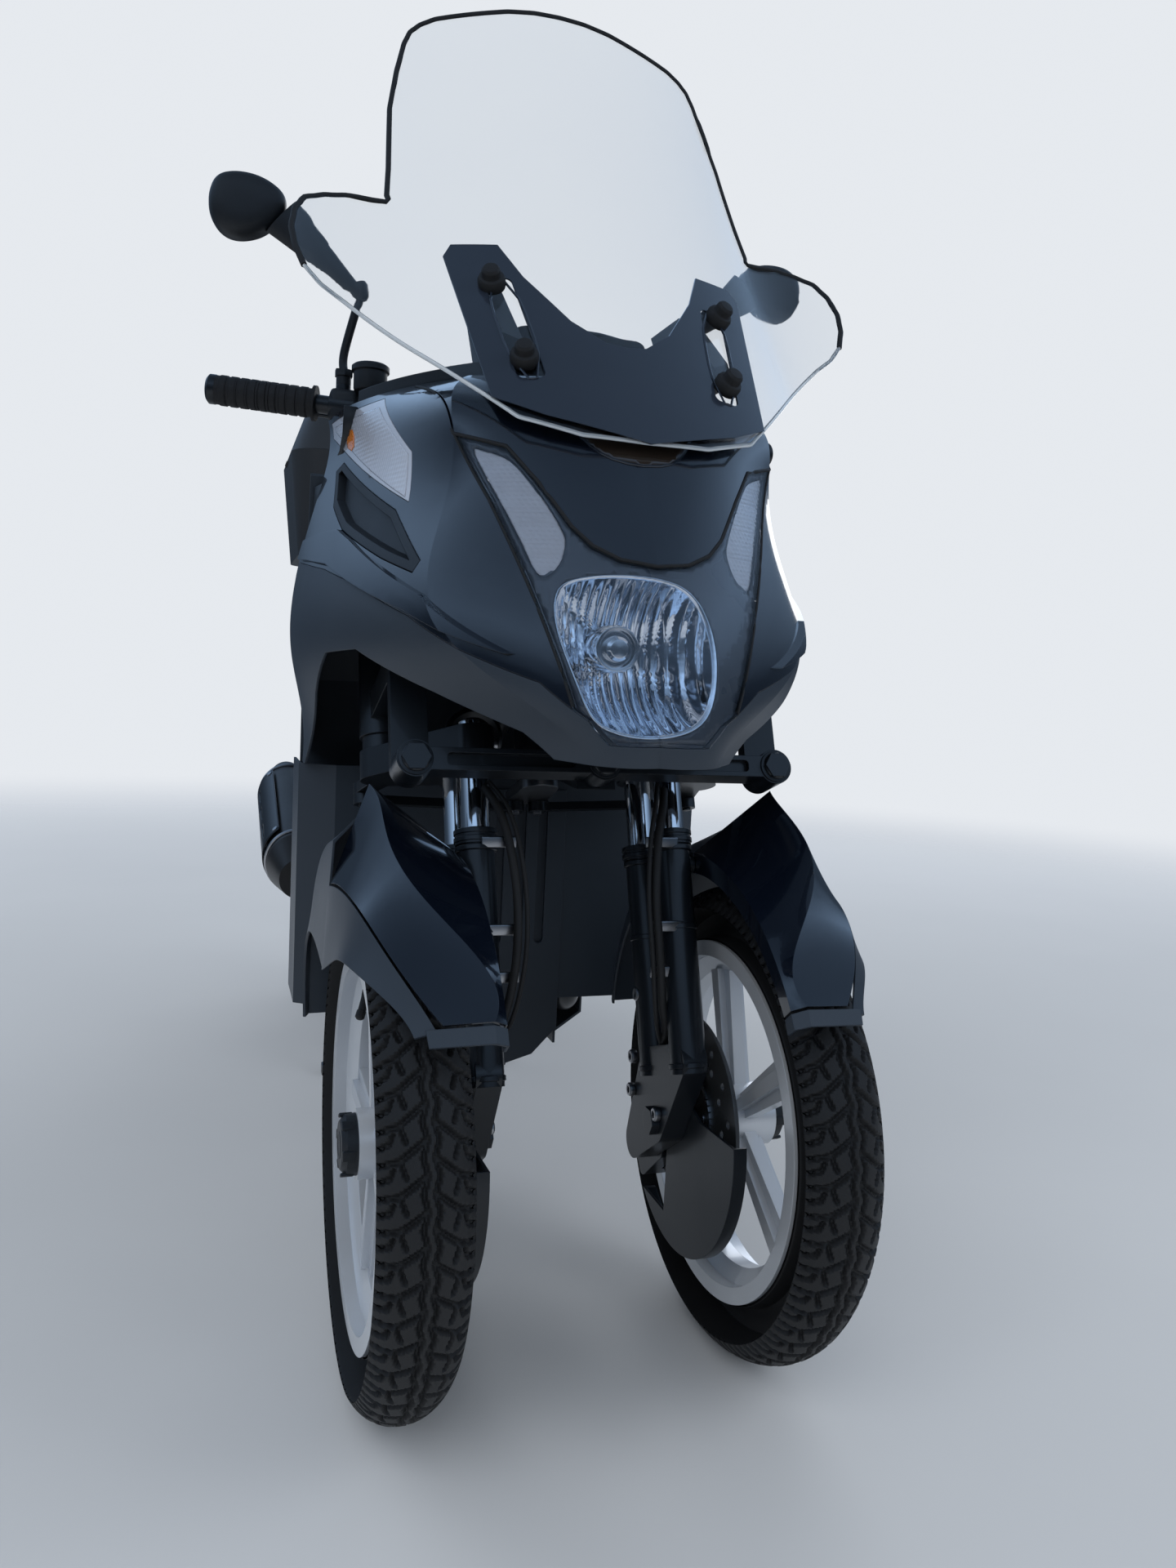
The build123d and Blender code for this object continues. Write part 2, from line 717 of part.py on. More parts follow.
with BuildPart() as frame:
    with BuildSketch(column_plane(head_tube_low)):
        Circle(head_tube_radius)
    extrude(amount=head_tube_high - head_tube_low)
    with BuildSketch(side_plane(0)):
        with BuildLine():
            Polyline(
                yz_point(link_front - seat_gap, -20), yz_point(link_front - seat_gap, arm_pitch + 20),
                yz_point(-column_back, arm_pitch + 80), yz_point(-column_back + 6, 62), yz_point(40, 34), close=True,
            )
        make_face()
    extrude(amount=20, both=True)
    with BuildSketch(linkage_plane(link_front - 10)):
        with Locations((0, 0), (0, arm_pitch)):
            Circle(arm_pin_radius)
    extrude(amount=pin_end - link_front + 10)
    with BuildSketch(linkage_plane(arm_front + seat_gap)):
        with Locations((0, 0), (0, arm_pitch)):
            RegularPolygon(arm_pin_radius + 5, 6)
    extrude(amount=7)
    block((-nose_bar_half, nose_bar_half), (lamp_back_y + seat_gap, column_y + 45), (nose_bar_low, nose_bar_high))
    for side in (1, -1):
        with BuildLine() as rail:
            FilletPolyline(
                (side * 14, 232, 715), (side * 40, 345, 602), (side * frame_half_width, 385, frame_floor_z),
                (side * frame_half_width, rail_foot_y, frame_floor_z), (side * frame_half_width, rail_knee_y, rail_knee_z),
                (side * seat_rail_half, seat_rail_end_y, seat_rail_z), radius=rail_bend,
            )
        with BuildSketch(Plane(origin=rail.line @ 0, z_dir=rail.line % 0)):
            Circle(frame_tube_radius)
        sweep(path=rail.line)
        # Tabs that carry the shield, the inner panel, the floor, the belly, the bin and the tail
        rail_face = side * frame_half_width
        block((side * 88, side * 108), (shield_front + panel + seat_gap, 362), (395, 415))
        block((side * 88, side * 108), (362, inner_panel_y - seat_gap), (395, 415))
        for y in (450, 720):
            block((rail_face - 12, rail_face + 12), (y - 14, y + 14), (frame_floor_z, floor_z - floor_thickness - seat_gap))
            block((rail_face, side * (belly_half - panel - seat_gap)), (y - 12, y + 12), (frame_floor_z - 6, frame_floor_z + 6))
        for y, z in ((960, 557), (1075, 591)):
            block((side * (bin_half_width + seat_gap), side * 112), (y - 8, y + 8), (z - 6, z + 6))
        block((side * 118, side * (tail_sections[1][1] - panel - 2 * seat_gap)), (997, 1003), (562, 578))
        block((side * (seat_rail_half - 9), side * (seat_rail_half + 9)),
              (seat_rail_end_y - 34, seat_rail_end_y - 4), (seat_rail_z - 4, seat_rail_z + 20))
        with BuildSketch(side_plane(side * (shock_x - shock_eye_half - seat_gap))):
            with Locations((shock_high_y, shock_high_z)):
                Circle(12)
            with Locations((shock_high_y, seat_rail_z - 6)):
                Circle(9)
            make_hull()
        extrude(amount=-side * 8)
        with BuildSketch(side_plane(side * (shock_x - shock_eye_half - seat_gap - 2))):
            with Locations((shock_high_y, shock_high_z)):
                Circle(shock_pin_radius)
        extrude(amount=side * (2 * shock_eye_half + 4))
        block((side * 24, side * 36), (740, engine_front - seat_gap), (286, 306))
        with BuildSketch(side_plane(side * 24)):
            with BuildLine():
                Polyline((732, frame_floor_z - 8), (752, frame_floor_z - 8), (760, 300), (740, 300), close=True)
            make_face()
        extrude(amount=side * 12)
    for y, z, half in (
        (450, frame_floor_z, frame_half_width), (740, frame_floor_z, frame_half_width),
        (seat_rail_end_y - 10, seat_rail_z - 3, seat_rail_half),
    ):
        with BuildSketch(side_plane(0)):
            with Locations((y, z)):
                Circle(cross_tube_radius)
        extrude(amount=half, both=True)
    with BuildSketch(side_plane(frame_half_width)):
        with BuildLine():
            Polyline((750, 260), (790, 260), (side_stand_y + 16, side_stand_z - 16),
                     (side_stand_y - 16, side_stand_z - 16), close=True)
        make_face()
    extrude(amount=side_stand_x - frame_half_width - seat_gap)
    with BuildSketch(stand_plane(-8)):
        Circle(stand_pin_radius)
    extrude(amount=28)
    with BuildSketch(column_plane(head_tube_low)):
        Circle(stem_radius + shaft_clearance)
    extrude(amount=head_tube_high - head_tube_low, mode=Mode.SUBTRACT)
save(frame, "frame")

with BuildPart() as engine:
    with BuildSketch(side_plane(0)):
        with BuildLine():
            Polyline((engine_front, 250), (850, 205), (1000, 195), (1036, 240), (1036, 380), (960, 420),
                     (820, 400), (engine_front, 360), close=True)
        make_face()
    extrude(amount=engine_half_width, both=True)
    fillet(engine.edges().filter_by(Axis.X), 14)
    for side in (1, -1):
        with BuildSketch(side_plane(side * (stand_tube_half + seat_gap))):
            with BuildLine():
                Polyline((stand_y - 14, 230), (stand_y + 14, 230), (stand_y + 9, stand_z - 8),
                         (stand_y - 9, stand_z - 8), close=True)
            make_face()
        extrude(amount=side * 6)
    with BuildSketch(side_plane(0)):
        with Locations((stand_y, stand_z)):
            Circle(stand_pin_radius)
    extrude(amount=stand_tube_half + 6, both=True)
save(engine, "engine")

with BuildPart() as drive_case:
    with BuildSketch(side_plane(engine_half_width + 0.5)):
        with Locations((drive_front_y, drive_front_z)):
            Circle(74)
        with Locations((wheelbase, rear_axle_z)):
            Circle(70)
        make_hull()
    extrude(amount=drive_case_width)
    fillet(drive_case.faces().sort_by(Axis.X)[-1].edges(), 12)
    # Round belt cover and its cooling ribs on the outer face
    with BuildSketch(side_plane(engine_half_width + drive_case_width)):
        with Locations((drive_front_y, drive_front_z)):
            Circle(52)
            Circle(44, mode=Mode.SUBTRACT)
        for step in range(6):
            with Locations((1070 + 26 * step, 280 - 2 * step)):
                Rectangle(6, 70)
    extrude(amount=4)
    # Lug for the shock absorber's lower pin
    lug_face = shock_x + shock_eye_half + seat_gap
    with BuildSketch(side_plane(lug_face)):
        with Locations((shock_low_y, shock_low_z)):
            Circle(12)
        with Locations((shock_low_y - 4, rear_axle_z + 50)):
            Circle(16)
        make_hull()
    extrude(amount=8)
    with BuildSketch(side_plane(lug_face)):
        with Locations((shock_low_y, shock_low_z)):
            Circle(shock_pin_radius)
    extrude(amount=-2 * shock_eye_half - 2)
save(drive_case, "drive_case")

# Swing arm and rear axle on the right, and both shock absorbers
with BuildPart() as suspension:
    with BuildSketch(side_plane(-engine_half_width - 0.5)):
        with Locations((980, 300)):
            Circle(28)
        with Locations((wheelbase, rear_axle_z)):
            Circle(30)
        make_hull()
    extrude(amount=-swing_arm_thickness)
    with BuildSketch(side_plane(engine_half_width)):
        with Locations((wheelbase, rear_axle_z)):
            Circle(axle_radius)
    extrude(amount=-2 * engine_half_width - 27)
    with BuildSketch(side_plane(-engine_half_width - swing_arm_thickness)):
        with Locations((wheelbase, rear_axle_z)):
            Circle(26)
        with Locations((shock_low_y, shock_low_z)):
            Circle(12)
        make_hull()
    extrude(amount=-(shock_x - shock_eye_half - seat_gap - engine_half_width - swing_arm_thickness))
    with BuildSketch(side_plane(-engine_half_width - swing_arm_thickness)):
        with Locations((shock_low_y, shock_low_z)):
            Circle(shock_pin_radius)
    extrude(amount=-(shock_x + shock_eye_half + 2 - engine_half_width - swing_arm_thickness))
save(suspension, "swing_arm")

with BuildPart() as shocks:
    for side in (1, -1):
        for y, z in ((shock_low_y, shock_low_z), (shock_high_y, shock_high_z)):
            with BuildSketch(side_plane(side * shock_x)):
                with Locations((y, z)):
                    Circle(shock_eye_radius)
            extrude(amount=shock_eye_half, both=True)
        base = Plane(
            origin=(side * shock_x, shock_low_y, shock_low_z), x_dir=(1, 0, 0), z_dir=(0, sin(shock_turn), cos(shock_turn))
        )
        for start, length, radius in (
            (shock_eye_radius - 4, 30, shock_eye_half - 0.5), (shock_eye_radius + 22, 6, shock_radius), (shock_eye_radius + 28, 120, 13),
            (shock_length - 112, 100, 16), (shock_length - 118, 6, shock_radius), (shock_length - 20, 12, 10),
        ):
            with BuildSketch(base.offset(start)):
                Circle(radius)
            extrude(amount=length)
        for turn in range(9):
            with BuildSketch(base.offset(shock_eye_radius + 32 + 13 * turn)):
                Circle(shock_radius)
            extrude(amount=7)
        for y, z in ((shock_low_y, shock_low_z), (shock_high_y, shock_high_z)):
            with BuildSketch(side_plane(side * shock_x)):
                with Locations((y, z)):
                    Circle(shock_pin_radius + shaft_clearance)
            extrude(amount=shock_eye_half, both=True, mode=Mode.SUBTRACT)
save(shocks, "rear_shocks")

with BuildPart() as muffler:
    rise = radians(muffler_rise)
    along = Plane(
        origin=(muffler_x, muffler_y, muffler_z), x_dir=(1, 0, 0), z_dir=(0, cos(rise), sin(rise))
    )
    for start, half, height in ((0, 34, 40), (60, muffler_half, muffler_half_height),
                                (muffler_length - 60, muffler_half, muffler_half_height), (muffler_length, 36, 44)):
        with BuildSketch(along.offset(start)):
            Ellipse(half, height)
    loft(ruled=True)
    with BuildSketch(along.offset(muffler_length)):
        with Locations((8, 8)):
            Circle(16)
            Circle(12, mode=Mode.SUBTRACT)
    extrude(amount=14)
    with BuildLine() as pipe:
        FilletPolyline(
            (-engine_half_width - seat_gap, port_y, port_z), (-118, port_y, port_z), (-178, 940, 296),
            (muffler_x + 6, muffler_y - 26, muffler_z - 8), (muffler_x, muffler_y + 14, muffler_z + 5), radius=30,
        )
    with BuildSketch(Plane(origin=pipe.line @ 0, z_dir=pipe.line % 0)):
        Circle(pipe_radius)
    sweep(path=pipe.line)
    # Hanger to the swing arm
    block((-engine_half_width - swing_arm_thickness - 0.5 - seat_gap, muffler_x + 30), (1120, 1150), (300, 340))
save(muffler, "muffler")

# Body panels

def nose_outline(row, inset):
    """Plan outline of one nose section, moved inward, drawn into the current line builder."""
    _, tip_y, mid_x, mid_y, corner_x, corner_y, flank_x, flank_y, end_x = row
    for side in (1, -1):
        ThreePointArc(
            (0, tip_y + inset), (side * (mid_x - inset * 0.5), mid_y + inset),
            (side * (corner_x - inset), corner_y + inset * 0.7),
        )
        ThreePointArc(
            (side * (corner_x - inset), corner_y + inset * 0.7), (side * (flank_x - inset), flank_y),
            (side * (end_x - inset), nose_back_y + inset),
        )
    Line((-end_x + inset, nose_back_y + inset), (end_x - inset, nose_back_y + inset))


def nose_form(inset, low_drop=0.0, top_drop=0.0):
    """Closed form of the nose, from plan outlines at rising heights, moved inward by one wall."""
    with BuildPart(mode=Mode.PRIVATE) as form:
        for number, row in enumerate(nose_sections):
            shift = -low_drop if number == 0 else top_drop if number == len(nose_sections) - 1 else 0
            with BuildSketch(Plane.XY.offset(row[0] + shift)):
                with BuildLine():
                    nose_outline(row, inset)
                make_face()
        loft()
    return form.part


front = cross_plane(-200)
front_depth = 400
side_depth = 400
nose_skin = nose_form(0) - nose_form(panel, 1, 1)
lens_prism = prism(both_sides(lens_half), front, front_depth)
above_split = [*reversed(split_line), (340, 1040), (-230, 1040)]

with BuildPart() as lower_cowl:
    add(nose_skin)
    add(prism([*arch_line, *split_line], side_plane(0), side_depth, -seam / 2), mode=Mode.INTERSECT)
save(lower_cowl, "lower_cowl")

upper_skin = nose_skin & prism(above_split, side_plane(0), side_depth, -seam / 2)

with BuildPart() as lens:
    add(upper_skin)
    add(lens_prism, mode=Mode.INTERSECT)
save(lens, "headlight_lens")

with BuildPart() as shield:
    add(upper_skin)
    add(prism(both_sides(shield_half), front, front_depth, -seam), mode=Mode.INTERSECT)
    add(prism(both_sides(lens_half), front, front_depth, seam), mode=Mode.SUBTRACT)
save(shield, "shield_panel")

with BuildPart() as front_cowl:
    add(upper_skin)
    for outline, plane in (
        (both_sides(lens_half), front), (both_sides(shield_half), front),
        (signal_line, side_plane(0)), (vent_line, side_plane(0)),
    ):
        add(prism(outline, plane, front_depth, seam), mode=Mode.SUBTRACT)
    add((nose_form(-blade_height, 1, 1) - nose_form(panel / 2, 2, 2)) & prism(blade_line, side_plane(0), side_depth))
    add(prism(both_sides(lens_half), front, front_depth, seam), mode=Mode.SUBTRACT)
save(front_cowl, "front_cowl")

with BuildPart() as signals:
    add(upper_skin)
    add(prism(signal_line, side_plane(0), side_depth), mode=Mode.INTERSECT)
save(signals, "turn_signals")

with BuildPart() as vents:
    add(nose_form(0) - nose_form(14, 1, 1))
    add(prism(vent_line, side_plane(0), side_depth, -seam / 2), mode=Mode.INTERSECT)
    add((nose_form(-1, 1, 1) - nose_form(10, 2, 2)) & prism(vent_line, side_plane(0), side_depth, -8), mode=Mode.SUBTRACT)
save(vents, "vent_panels")

inner_nose = nose_form(panel + seat_gap, 1, 1)
with BuildPart() as headlight:
    add(inner_nose)
    add(prism(both_sides(lens_half), front, front_depth, -panel), mode=Mode.INTERSECT)
    block((-160, 160), (lamp_back_y, nose_back_y + 40), (560, 1060), mode=Mode.SUBTRACT)
    block((-200, 200), (-260, lamp_back_y + 1), (lamp_z + lamp_radius + 6, 1060), mode=Mode.SUBTRACT)
    with BuildSketch(cross_plane(-215)):
        with Locations((0, lamp_z)):
            Circle(lamp_radius + 8)
    with BuildSketch(cross_plane(-120)):
        with Locations((0, lamp_z)):
            Circle(26)
    loft(mode=Mode.SUBTRACT)
    with BuildSketch(cross_plane(-118)):
        with Locations((0, lamp_z)):
            Circle(9)
    extrude(amount=38)
    horns = prism(horn_half, front, front_depth) + prism([(-x, z) for x, z in horn_half], front, front_depth)
    add((inner_nose - nose_form(20, 1, 1)) & horns)
save(headlight, "headlight")


with BuildPart() as leg_shield:
    with BuildSketch(Plane.XY.offset(shield_low)):
        with BuildLine():
            Polyline(
                (-shield_half_width, 420), (-shield_half_width, 330), (-shield_corner, shield_front),
                (shield_corner, shield_front), (shield_half_width, 330), (shield_half_width, 420),
                (shield_half_width - panel, 420), (shield_half_width - panel, 332),
                (shield_corner - 2, shield_front + panel), (-shield_corner + 2, shield_front + panel),
                (-shield_half_width + panel, 332), (-shield_half_width + panel, 420), close=True,
            )
        make_face()
    extrude(amount=shield_high - shield_low)

# Slotted cover between the front wheels, with its pointed foot
with BuildPart() as grille:
    with BuildSketch(cross_plane(grille_front)):
        with BuildLine():
            Polyline(*both_sides([(0, 216), (40, 228), (grille_half, 262), (grille_half, grille_high), (0, grille_high)]), close=True)
        make_face()
        for step in (-1.5, -0.5, 0.5, 1.5):
            with Locations((28 * step, 470)):
                SlotOverall(190, 12, rotation=90, mode=Mode.SUBTRACT)
    extrude(amount=-(shield_front - seat_gap - grille_front))
    for side in (1, -1):
        block((side * (grille_half - panel), side * grille_half), (shield_front - 1, 340), (240, shield_low - 2))

with BuildPart() as inner_panel:
    with BuildSketch(side_plane(0)):
        with BuildLine():
            Polyline(
                (inner_panel_y, shield_low), (inner_panel_y, 700), (inner_panel_top_y, inner_panel_high),
                (inner_panel_top_y + panel, inner_panel_high + panel),
                (inner_panel_y + panel, 700), (inner_panel_y + panel, shield_low), close=True,
            )
        make_face()
    extrude(amount=inner_panel_half, both=True)
    # Glove box lid outline pressed into the face that the rider sees
    with BuildSketch(cross_plane(inner_panel_y + panel)):
        with Locations((0, 590)):
            RectangleRounded(300, 150, 20)
            RectangleRounded(292, 142, 16, mode=Mode.SUBTRACT)
    extrude(amount=1.5, mode=Mode.SUBTRACT)
with BuildPart() as shields:
    add(leg_shield.part)
    add(inner_panel.part)
save(shields, "leg_shield")

with BuildPart() as floorboard:
    with BuildSketch(Plane.XY.offset(floor_z - floor_thickness)):
        with BuildLine():
            Polyline((-floor_half, floor_front), (floor_half, floor_front), (floor_half - 12, floor_rear),
                     (-floor_half + 12, floor_rear), close=True)
        make_face()
    extrude(amount=floor_thickness)
    with BuildSketch(Plane.XY.offset(floor_z)):
        for side in (1, -1):
            for step in range(7):
                with Locations((side * (62 + 22 * step), (floor_front + floor_rear) / 2)):
                    SlotOverall(floor_rear - floor_front - 60, 8, rotation=90)
    extrude(amount=2)
save(floorboard, "floorboard")

with BuildPart() as belly:
    with BuildSketch(cross_plane(belly_front)):
        with BuildLine():
            Polyline(
                (-belly_half, floor_z - 14), (-belly_half, 240), (-belly_half + 40, belly_low),
                (belly_half - 40, belly_low), (belly_half, 240), (belly_half, floor_z - 14),
                (belly_half - panel, floor_z - 14), (belly_half - panel, 242), (belly_half - 42, belly_low + panel),
                (-belly_half + 42, belly_low + panel), (-belly_half + panel, 242),
                (-belly_half + panel, floor_z - 14), close=True,
            )
        make_face()
    extrude(amount=-belly_length)
with BuildPart() as under_covers:
    add(belly.part)
    add(grille.part)
save(under_covers, "belly_cover")

with BuildPart() as tail_cowl:
    for y, half, low, high in tail_sections:
        with BuildSketch(cross_plane(y)):
            with Locations((0, (low + high) / 2)):
                RectangleRounded(2 * half, high - low, 24)
    loft()
    for y, half, low, high in tail_sections:
        with BuildSketch(cross_plane(y)):
            with Locations((0, (low + high) / 2)):
                RectangleRounded(2 * half - 2 * panel, high - low + 60, 24)
    loft(mode=Mode.SUBTRACT)
save(tail_cowl, "tail_cowl")

tail_y, tail_half, tail_low, tail_high = tail_sections[-1]
with BuildPart() as tail_lamp:
    with BuildSketch(cross_plane(tail_y + seat_gap)):
        with Locations((0, (tail_low + tail_high) / 2)):
            RectangleRounded(2 * tail_half, tail_high - tail_low - 10, 22)
    with BuildSketch(cross_plane(tail_y + 24)):
        with Locations((0, (tail_low + tail_high) / 2 + 4)):
            RectangleRounded(2 * tail_half - 24, tail_high - tail_low - 38, 18)
    loft()
save(tail_lamp, "tail_lamp")

with BuildPart() as bin_shell:
    with BuildSketch(Plane.XY.offset(bin_low)):
        with Locations((0, bin_middle_y)):
            RectangleRounded(2 * bin_half_width, bin_length, 30)
    extrude(amount=bin_high - bin_low)
    with BuildSketch(Plane.XY.offset(bin_low + panel)):
        with Locations((0, bin_middle_y)):
            RectangleRounded(2 * bin_half_width - 2 * panel, bin_length - 2 * panel, 27)
    extrude(amount=bin_high - bin_low, mode=Mode.SUBTRACT)
    bin_front = bin_middle_y - bin_length / 2
    for side in (1, -1):
        with BuildSketch(side_plane(side * 30)):
            with BuildLine():
                Polyline((bin_front + 1, bin_high - 60), (bin_front + 1, bin_high - 4),
                         (seat_hinge_y - 9, seat_hinge_z + 8), (seat_hinge_y - 9, seat_hinge_z - 9), close=True)
            make_face()
        extrude(amount=side * 4)
    with BuildSketch(side_plane(0)):
        with Locations((seat_hinge_y, seat_hinge_z)):
            Circle(seat_pin_radius)
    extrude(amount=33, both=True)
save(bin_shell, "storage_bin")

with BuildPart() as seat_base:
    with BuildSketch(side_plane(0)):
        with BuildLine():
            Polyline(
                (seat_front + 20, seat_z - 44), (1112, seat_z - 44), (1160, seat_z - 9), (seat_rear - 12, seat_z + 15),
                (seat_rear - 12, seat_z + 11), (1162, seat_z - 13), (1114, seat_z - 48),
                (seat_front + 20, seat_z - 48), close=True,
            )
        make_face()
    extrude(amount=seat_base_half, both=True)
    with BuildSketch(side_plane(0)):
        with Locations((seat_hinge_y, seat_hinge_z)):
            Circle(8)
        with BuildLine():
            Polyline(
                (seat_hinge_y - 3, seat_hinge_z + 5), (seat_hinge_y + 5, seat_hinge_z - 3),
                (seat_front + 28, seat_z - 48), (seat_front + 44, seat_z - 48),
                (seat_front + 44, seat_z - 45), (seat_front + 26, seat_z - 45), close=True,
            )
        make_face()
    extrude(amount=29.7, both=True)
    with BuildSketch(side_plane(0)):
        with Locations((seat_hinge_y, seat_hinge_z)):
            Circle(seat_pin_radius + shaft_clearance)
    extrude(amount=30, both=True, mode=Mode.SUBTRACT)
save(seat_base, "seat_base")

# Cushion: rider's hollow, step and passenger's pad
with BuildPart() as seat:
    with BuildSketch(side_plane(0)):
        with BuildLine():
            Polyline(
                (seat_front, seat_z - 43.5), (seat_front + 30, seat_z), (1090, seat_z), (1130, seat_z + 60),
                (1360, seat_z + 72), (seat_rear, seat_z + 50), (seat_rear, seat_z + 17.3), (1160, seat_z - 8.5),
                (1112, seat_z - 43.5), close=True,
            )
        make_face()
    extrude(amount=seat_half, both=True)
save(seat, "seat")

carrier_top = case_low - seat_gap
carrier_y = case_middle_y - 40
with BuildPart() as carrier:
    with BuildSketch(Plane.XY.offset(carrier_top - carrier_thickness)):
        with Locations((0, carrier_y)):
            RectangleRounded(220, 260, 30)
        with Locations((-60, carrier_y), (0, carrier_y), (60, carrier_y)):
            SlotOverall(190, 30, rotation=90, mode=Mode.SUBTRACT)
    extrude(amount=carrier_thickness)
    for side in (1, -1):
        with BuildSketch(side_plane(side * carrier_leg_x)):
            with BuildLine():
                Polyline(
                    (seat_rail_end_y - 34, seat_rail_z + 20 + seat_gap), (seat_rail_end_y - 4, seat_rail_z + 20 + seat_gap),
                    (carrier_y + 40, carrier_top - carrier_thickness), (carrier_y - 100, carrier_top - carrier_thickness),
                    close=True,
                )
            make_face()
        extrude(amount=5, both=True)
save(carrier, "rear_carrier")

with BuildPart() as case_base:
    for inset, low, high, mode in ((0, case_low, case_seam, Mode.ADD),
                                   (case_wall, case_low + case_wall, case_seam + 0.1, Mode.SUBTRACT)):
        with BuildSketch(Plane.XY.offset(low)):
            with Locations((0, case_middle_y)):
                RectangleRounded(2 * (case_half_width - case_taper - inset), case_length - 2 * (case_taper + inset),
                                 60 - inset)
        with BuildSketch(Plane.XY.offset(high)):
            with Locations((0, case_middle_y)):
                RectangleRounded(2 * (case_half_width - inset), case_length - 2 * inset, 70 - inset)
        loft(mode=mode)
    for side in (1, -1):
        with BuildSketch(side_plane(side * 41)):
            with Locations((lid_hinge_y, lid_hinge_z)):
                Circle(6)
            with BuildLine():
                Polyline((lid_hinge_y - 6, lid_hinge_z), (lid_hinge_y + 6, lid_hinge_z),
                         (lid_hinge_y + 12, lid_hinge_z - 20), close=True)
            make_face()
        extrude(amount=side * 20)
    with BuildSketch(side_plane(0)):
        with Locations((lid_hinge_y, lid_hinge_z)):
            Circle(lid_pin_radius)
    extrude(amount=50, both=True)
save(case_base, "top_case")

with BuildPart() as case_lid:
    for inset, low, high, mode in ((0, case_seam + seat_gap, case_high, Mode.ADD),
                                   (case_wall, case_seam, case_high - case_wall, Mode.SUBTRACT)):
        with BuildSketch(Plane.XY.offset(low)):
            with Locations((0, case_middle_y)):
                RectangleRounded(2 * (case_half_width - inset), case_length - 2 * inset, 70 - inset)
        with BuildSketch(Plane.XY.offset(high)):
            with Locations((0, case_middle_y)):
                RectangleRounded(2 * (case_half_width - lid_taper - inset), case_length - 2 * (lid_taper + inset),
                                 60 - inset)
        loft(mode=mode)
    with BuildSketch(side_plane(0)):
        with Locations((lid_hinge_y, lid_hinge_z)):
            Circle(6)
        with BuildLine():
            Polyline((lid_hinge_y - 6, lid_hinge_z), (lid_hinge_y + 4, lid_hinge_z - 4),
                     (lid_hinge_y + 11, lid_hinge_z + 6), (lid_hinge_y + 14, lid_hinge_z + 16), close=True)
        make_face()
    extrude(amount=40.5, both=True)
    with BuildSketch(side_plane(0)):
        with Locations((lid_hinge_y, lid_hinge_z)):
            Circle(lid_pin_radius + shaft_clearance)
    extrude(amount=41, both=True, mode=Mode.SUBTRACT)
save(case_lid, "top_case_lid")

guard_front_y = seat_rail_end_y - 10 + cross_tube_radius + seat_gap
with BuildPart() as mudguard:
    with BuildSketch(side_plane(0)):
        with BuildLine():
            Polyline(
                (guard_front_y, 694), (wheelbase + 190, 652), (wheelbase + 250, 640), (wheelbase + 316, 424),
                (wheelbase + 310, 420), (wheelbase + 240, 630), (wheelbase + 185, 642), (guard_front_y, 680), close=True,
            )
        make_face()
    extrude(amount=60, both=True)
save(mudguard, "rear_mudguard")

# Screen, the dark panel it is bolted behind, and the dash with the two brackets that carry them

def screen_slab(front_shift, back_shift):
    """Raked curved slab: a plan curve with flared wings, carried up and back along the rake."""
    with BuildPart(mode=Mode.PRIVATE) as form:
        for z, middle_y in screen_line:
            with BuildSketch(Plane.XY.offset(z)):
                with BuildLine():
                    for shift in (front_shift, back_shift):
                        base = middle_y + shift
                        ThreePointArc((-screen_arc_x, base + screen_arc_y), (0, base), (screen_arc_x, base + screen_arc_y))
                        for side in (1, -1):
                            ThreePointArc(
                                (side * screen_arc_x, base + screen_arc_y),
                                (side * screen_wing[0], base + screen_wing[1]),
                                (side * screen_edge[0], base + screen_edge[1]),
                            )
                    for side in (1, -1):
                        Line((side * screen_edge[0], middle_y + front_shift + screen_edge[1]),
                             (side * screen_edge[0], middle_y + back_shift + screen_edge[1]))
                make_face()
        loft()
    return form.part


with BuildPart() as windshield:
    add(screen_slab(0, screen_thickness))
    with BuildSketch(cross_plane(0)):
        with BuildLine():
            for side in (1, -1):
                Polyline((0, 928), (side * 60, 930), (side * 113, 944), (side * 253, 1062))
                ThreePointArc((side * 253, 1062), (side * 289, 1096), (side * 300, 1140))
                ThreePointArc((side * 300, 1140), (side * 286, 1182), (side * 244, 1197))
                Polyline((side * 244, 1197), (side * 204, 1192), (side * 193, 1322), (side * 174, 1412))
                ThreePointArc((side * 174, 1412), (side * 156, 1438), (side * 124, 1450))
                Line((side * 124, 1450), (side * 60, 1465))
            ThreePointArc((-60, 1465), (0, 1470), (60, 1465))
        make_face()
        with Locations((112, 1087), (-112, 1087), (95, 1002), (-95, 1002)):
            Circle(4, mode=Mode.SUBTRACT)
    extrude(amount=900, both=True, mode=Mode.INTERSECT)
save(windshield, "windshield")

visor_half = ((0, 926), (90, 946), (134, 962), (158, 1122), (150, 1136), (106, 1138), (87, 1100), (50, 1052), (20, 1031), (0, 1029))
with BuildPart() as visor:
    add(screen_slab(-visor_thickness - seat_gap, -seat_gap))
    with BuildSketch(cross_plane(0)):
        with BuildLine():
            Polyline(*both_sides(visor_half), close=True)
        make_face()
        for side in (1, -1):
            with Locations(Location((side * 104, 1040), side * -8)):
                RectangleRounded(26, 112, 6, mode=Mode.SUBTRACT)
    extrude(amount=900, both=True, mode=Mode.INTERSECT)
save(visor, "visor")

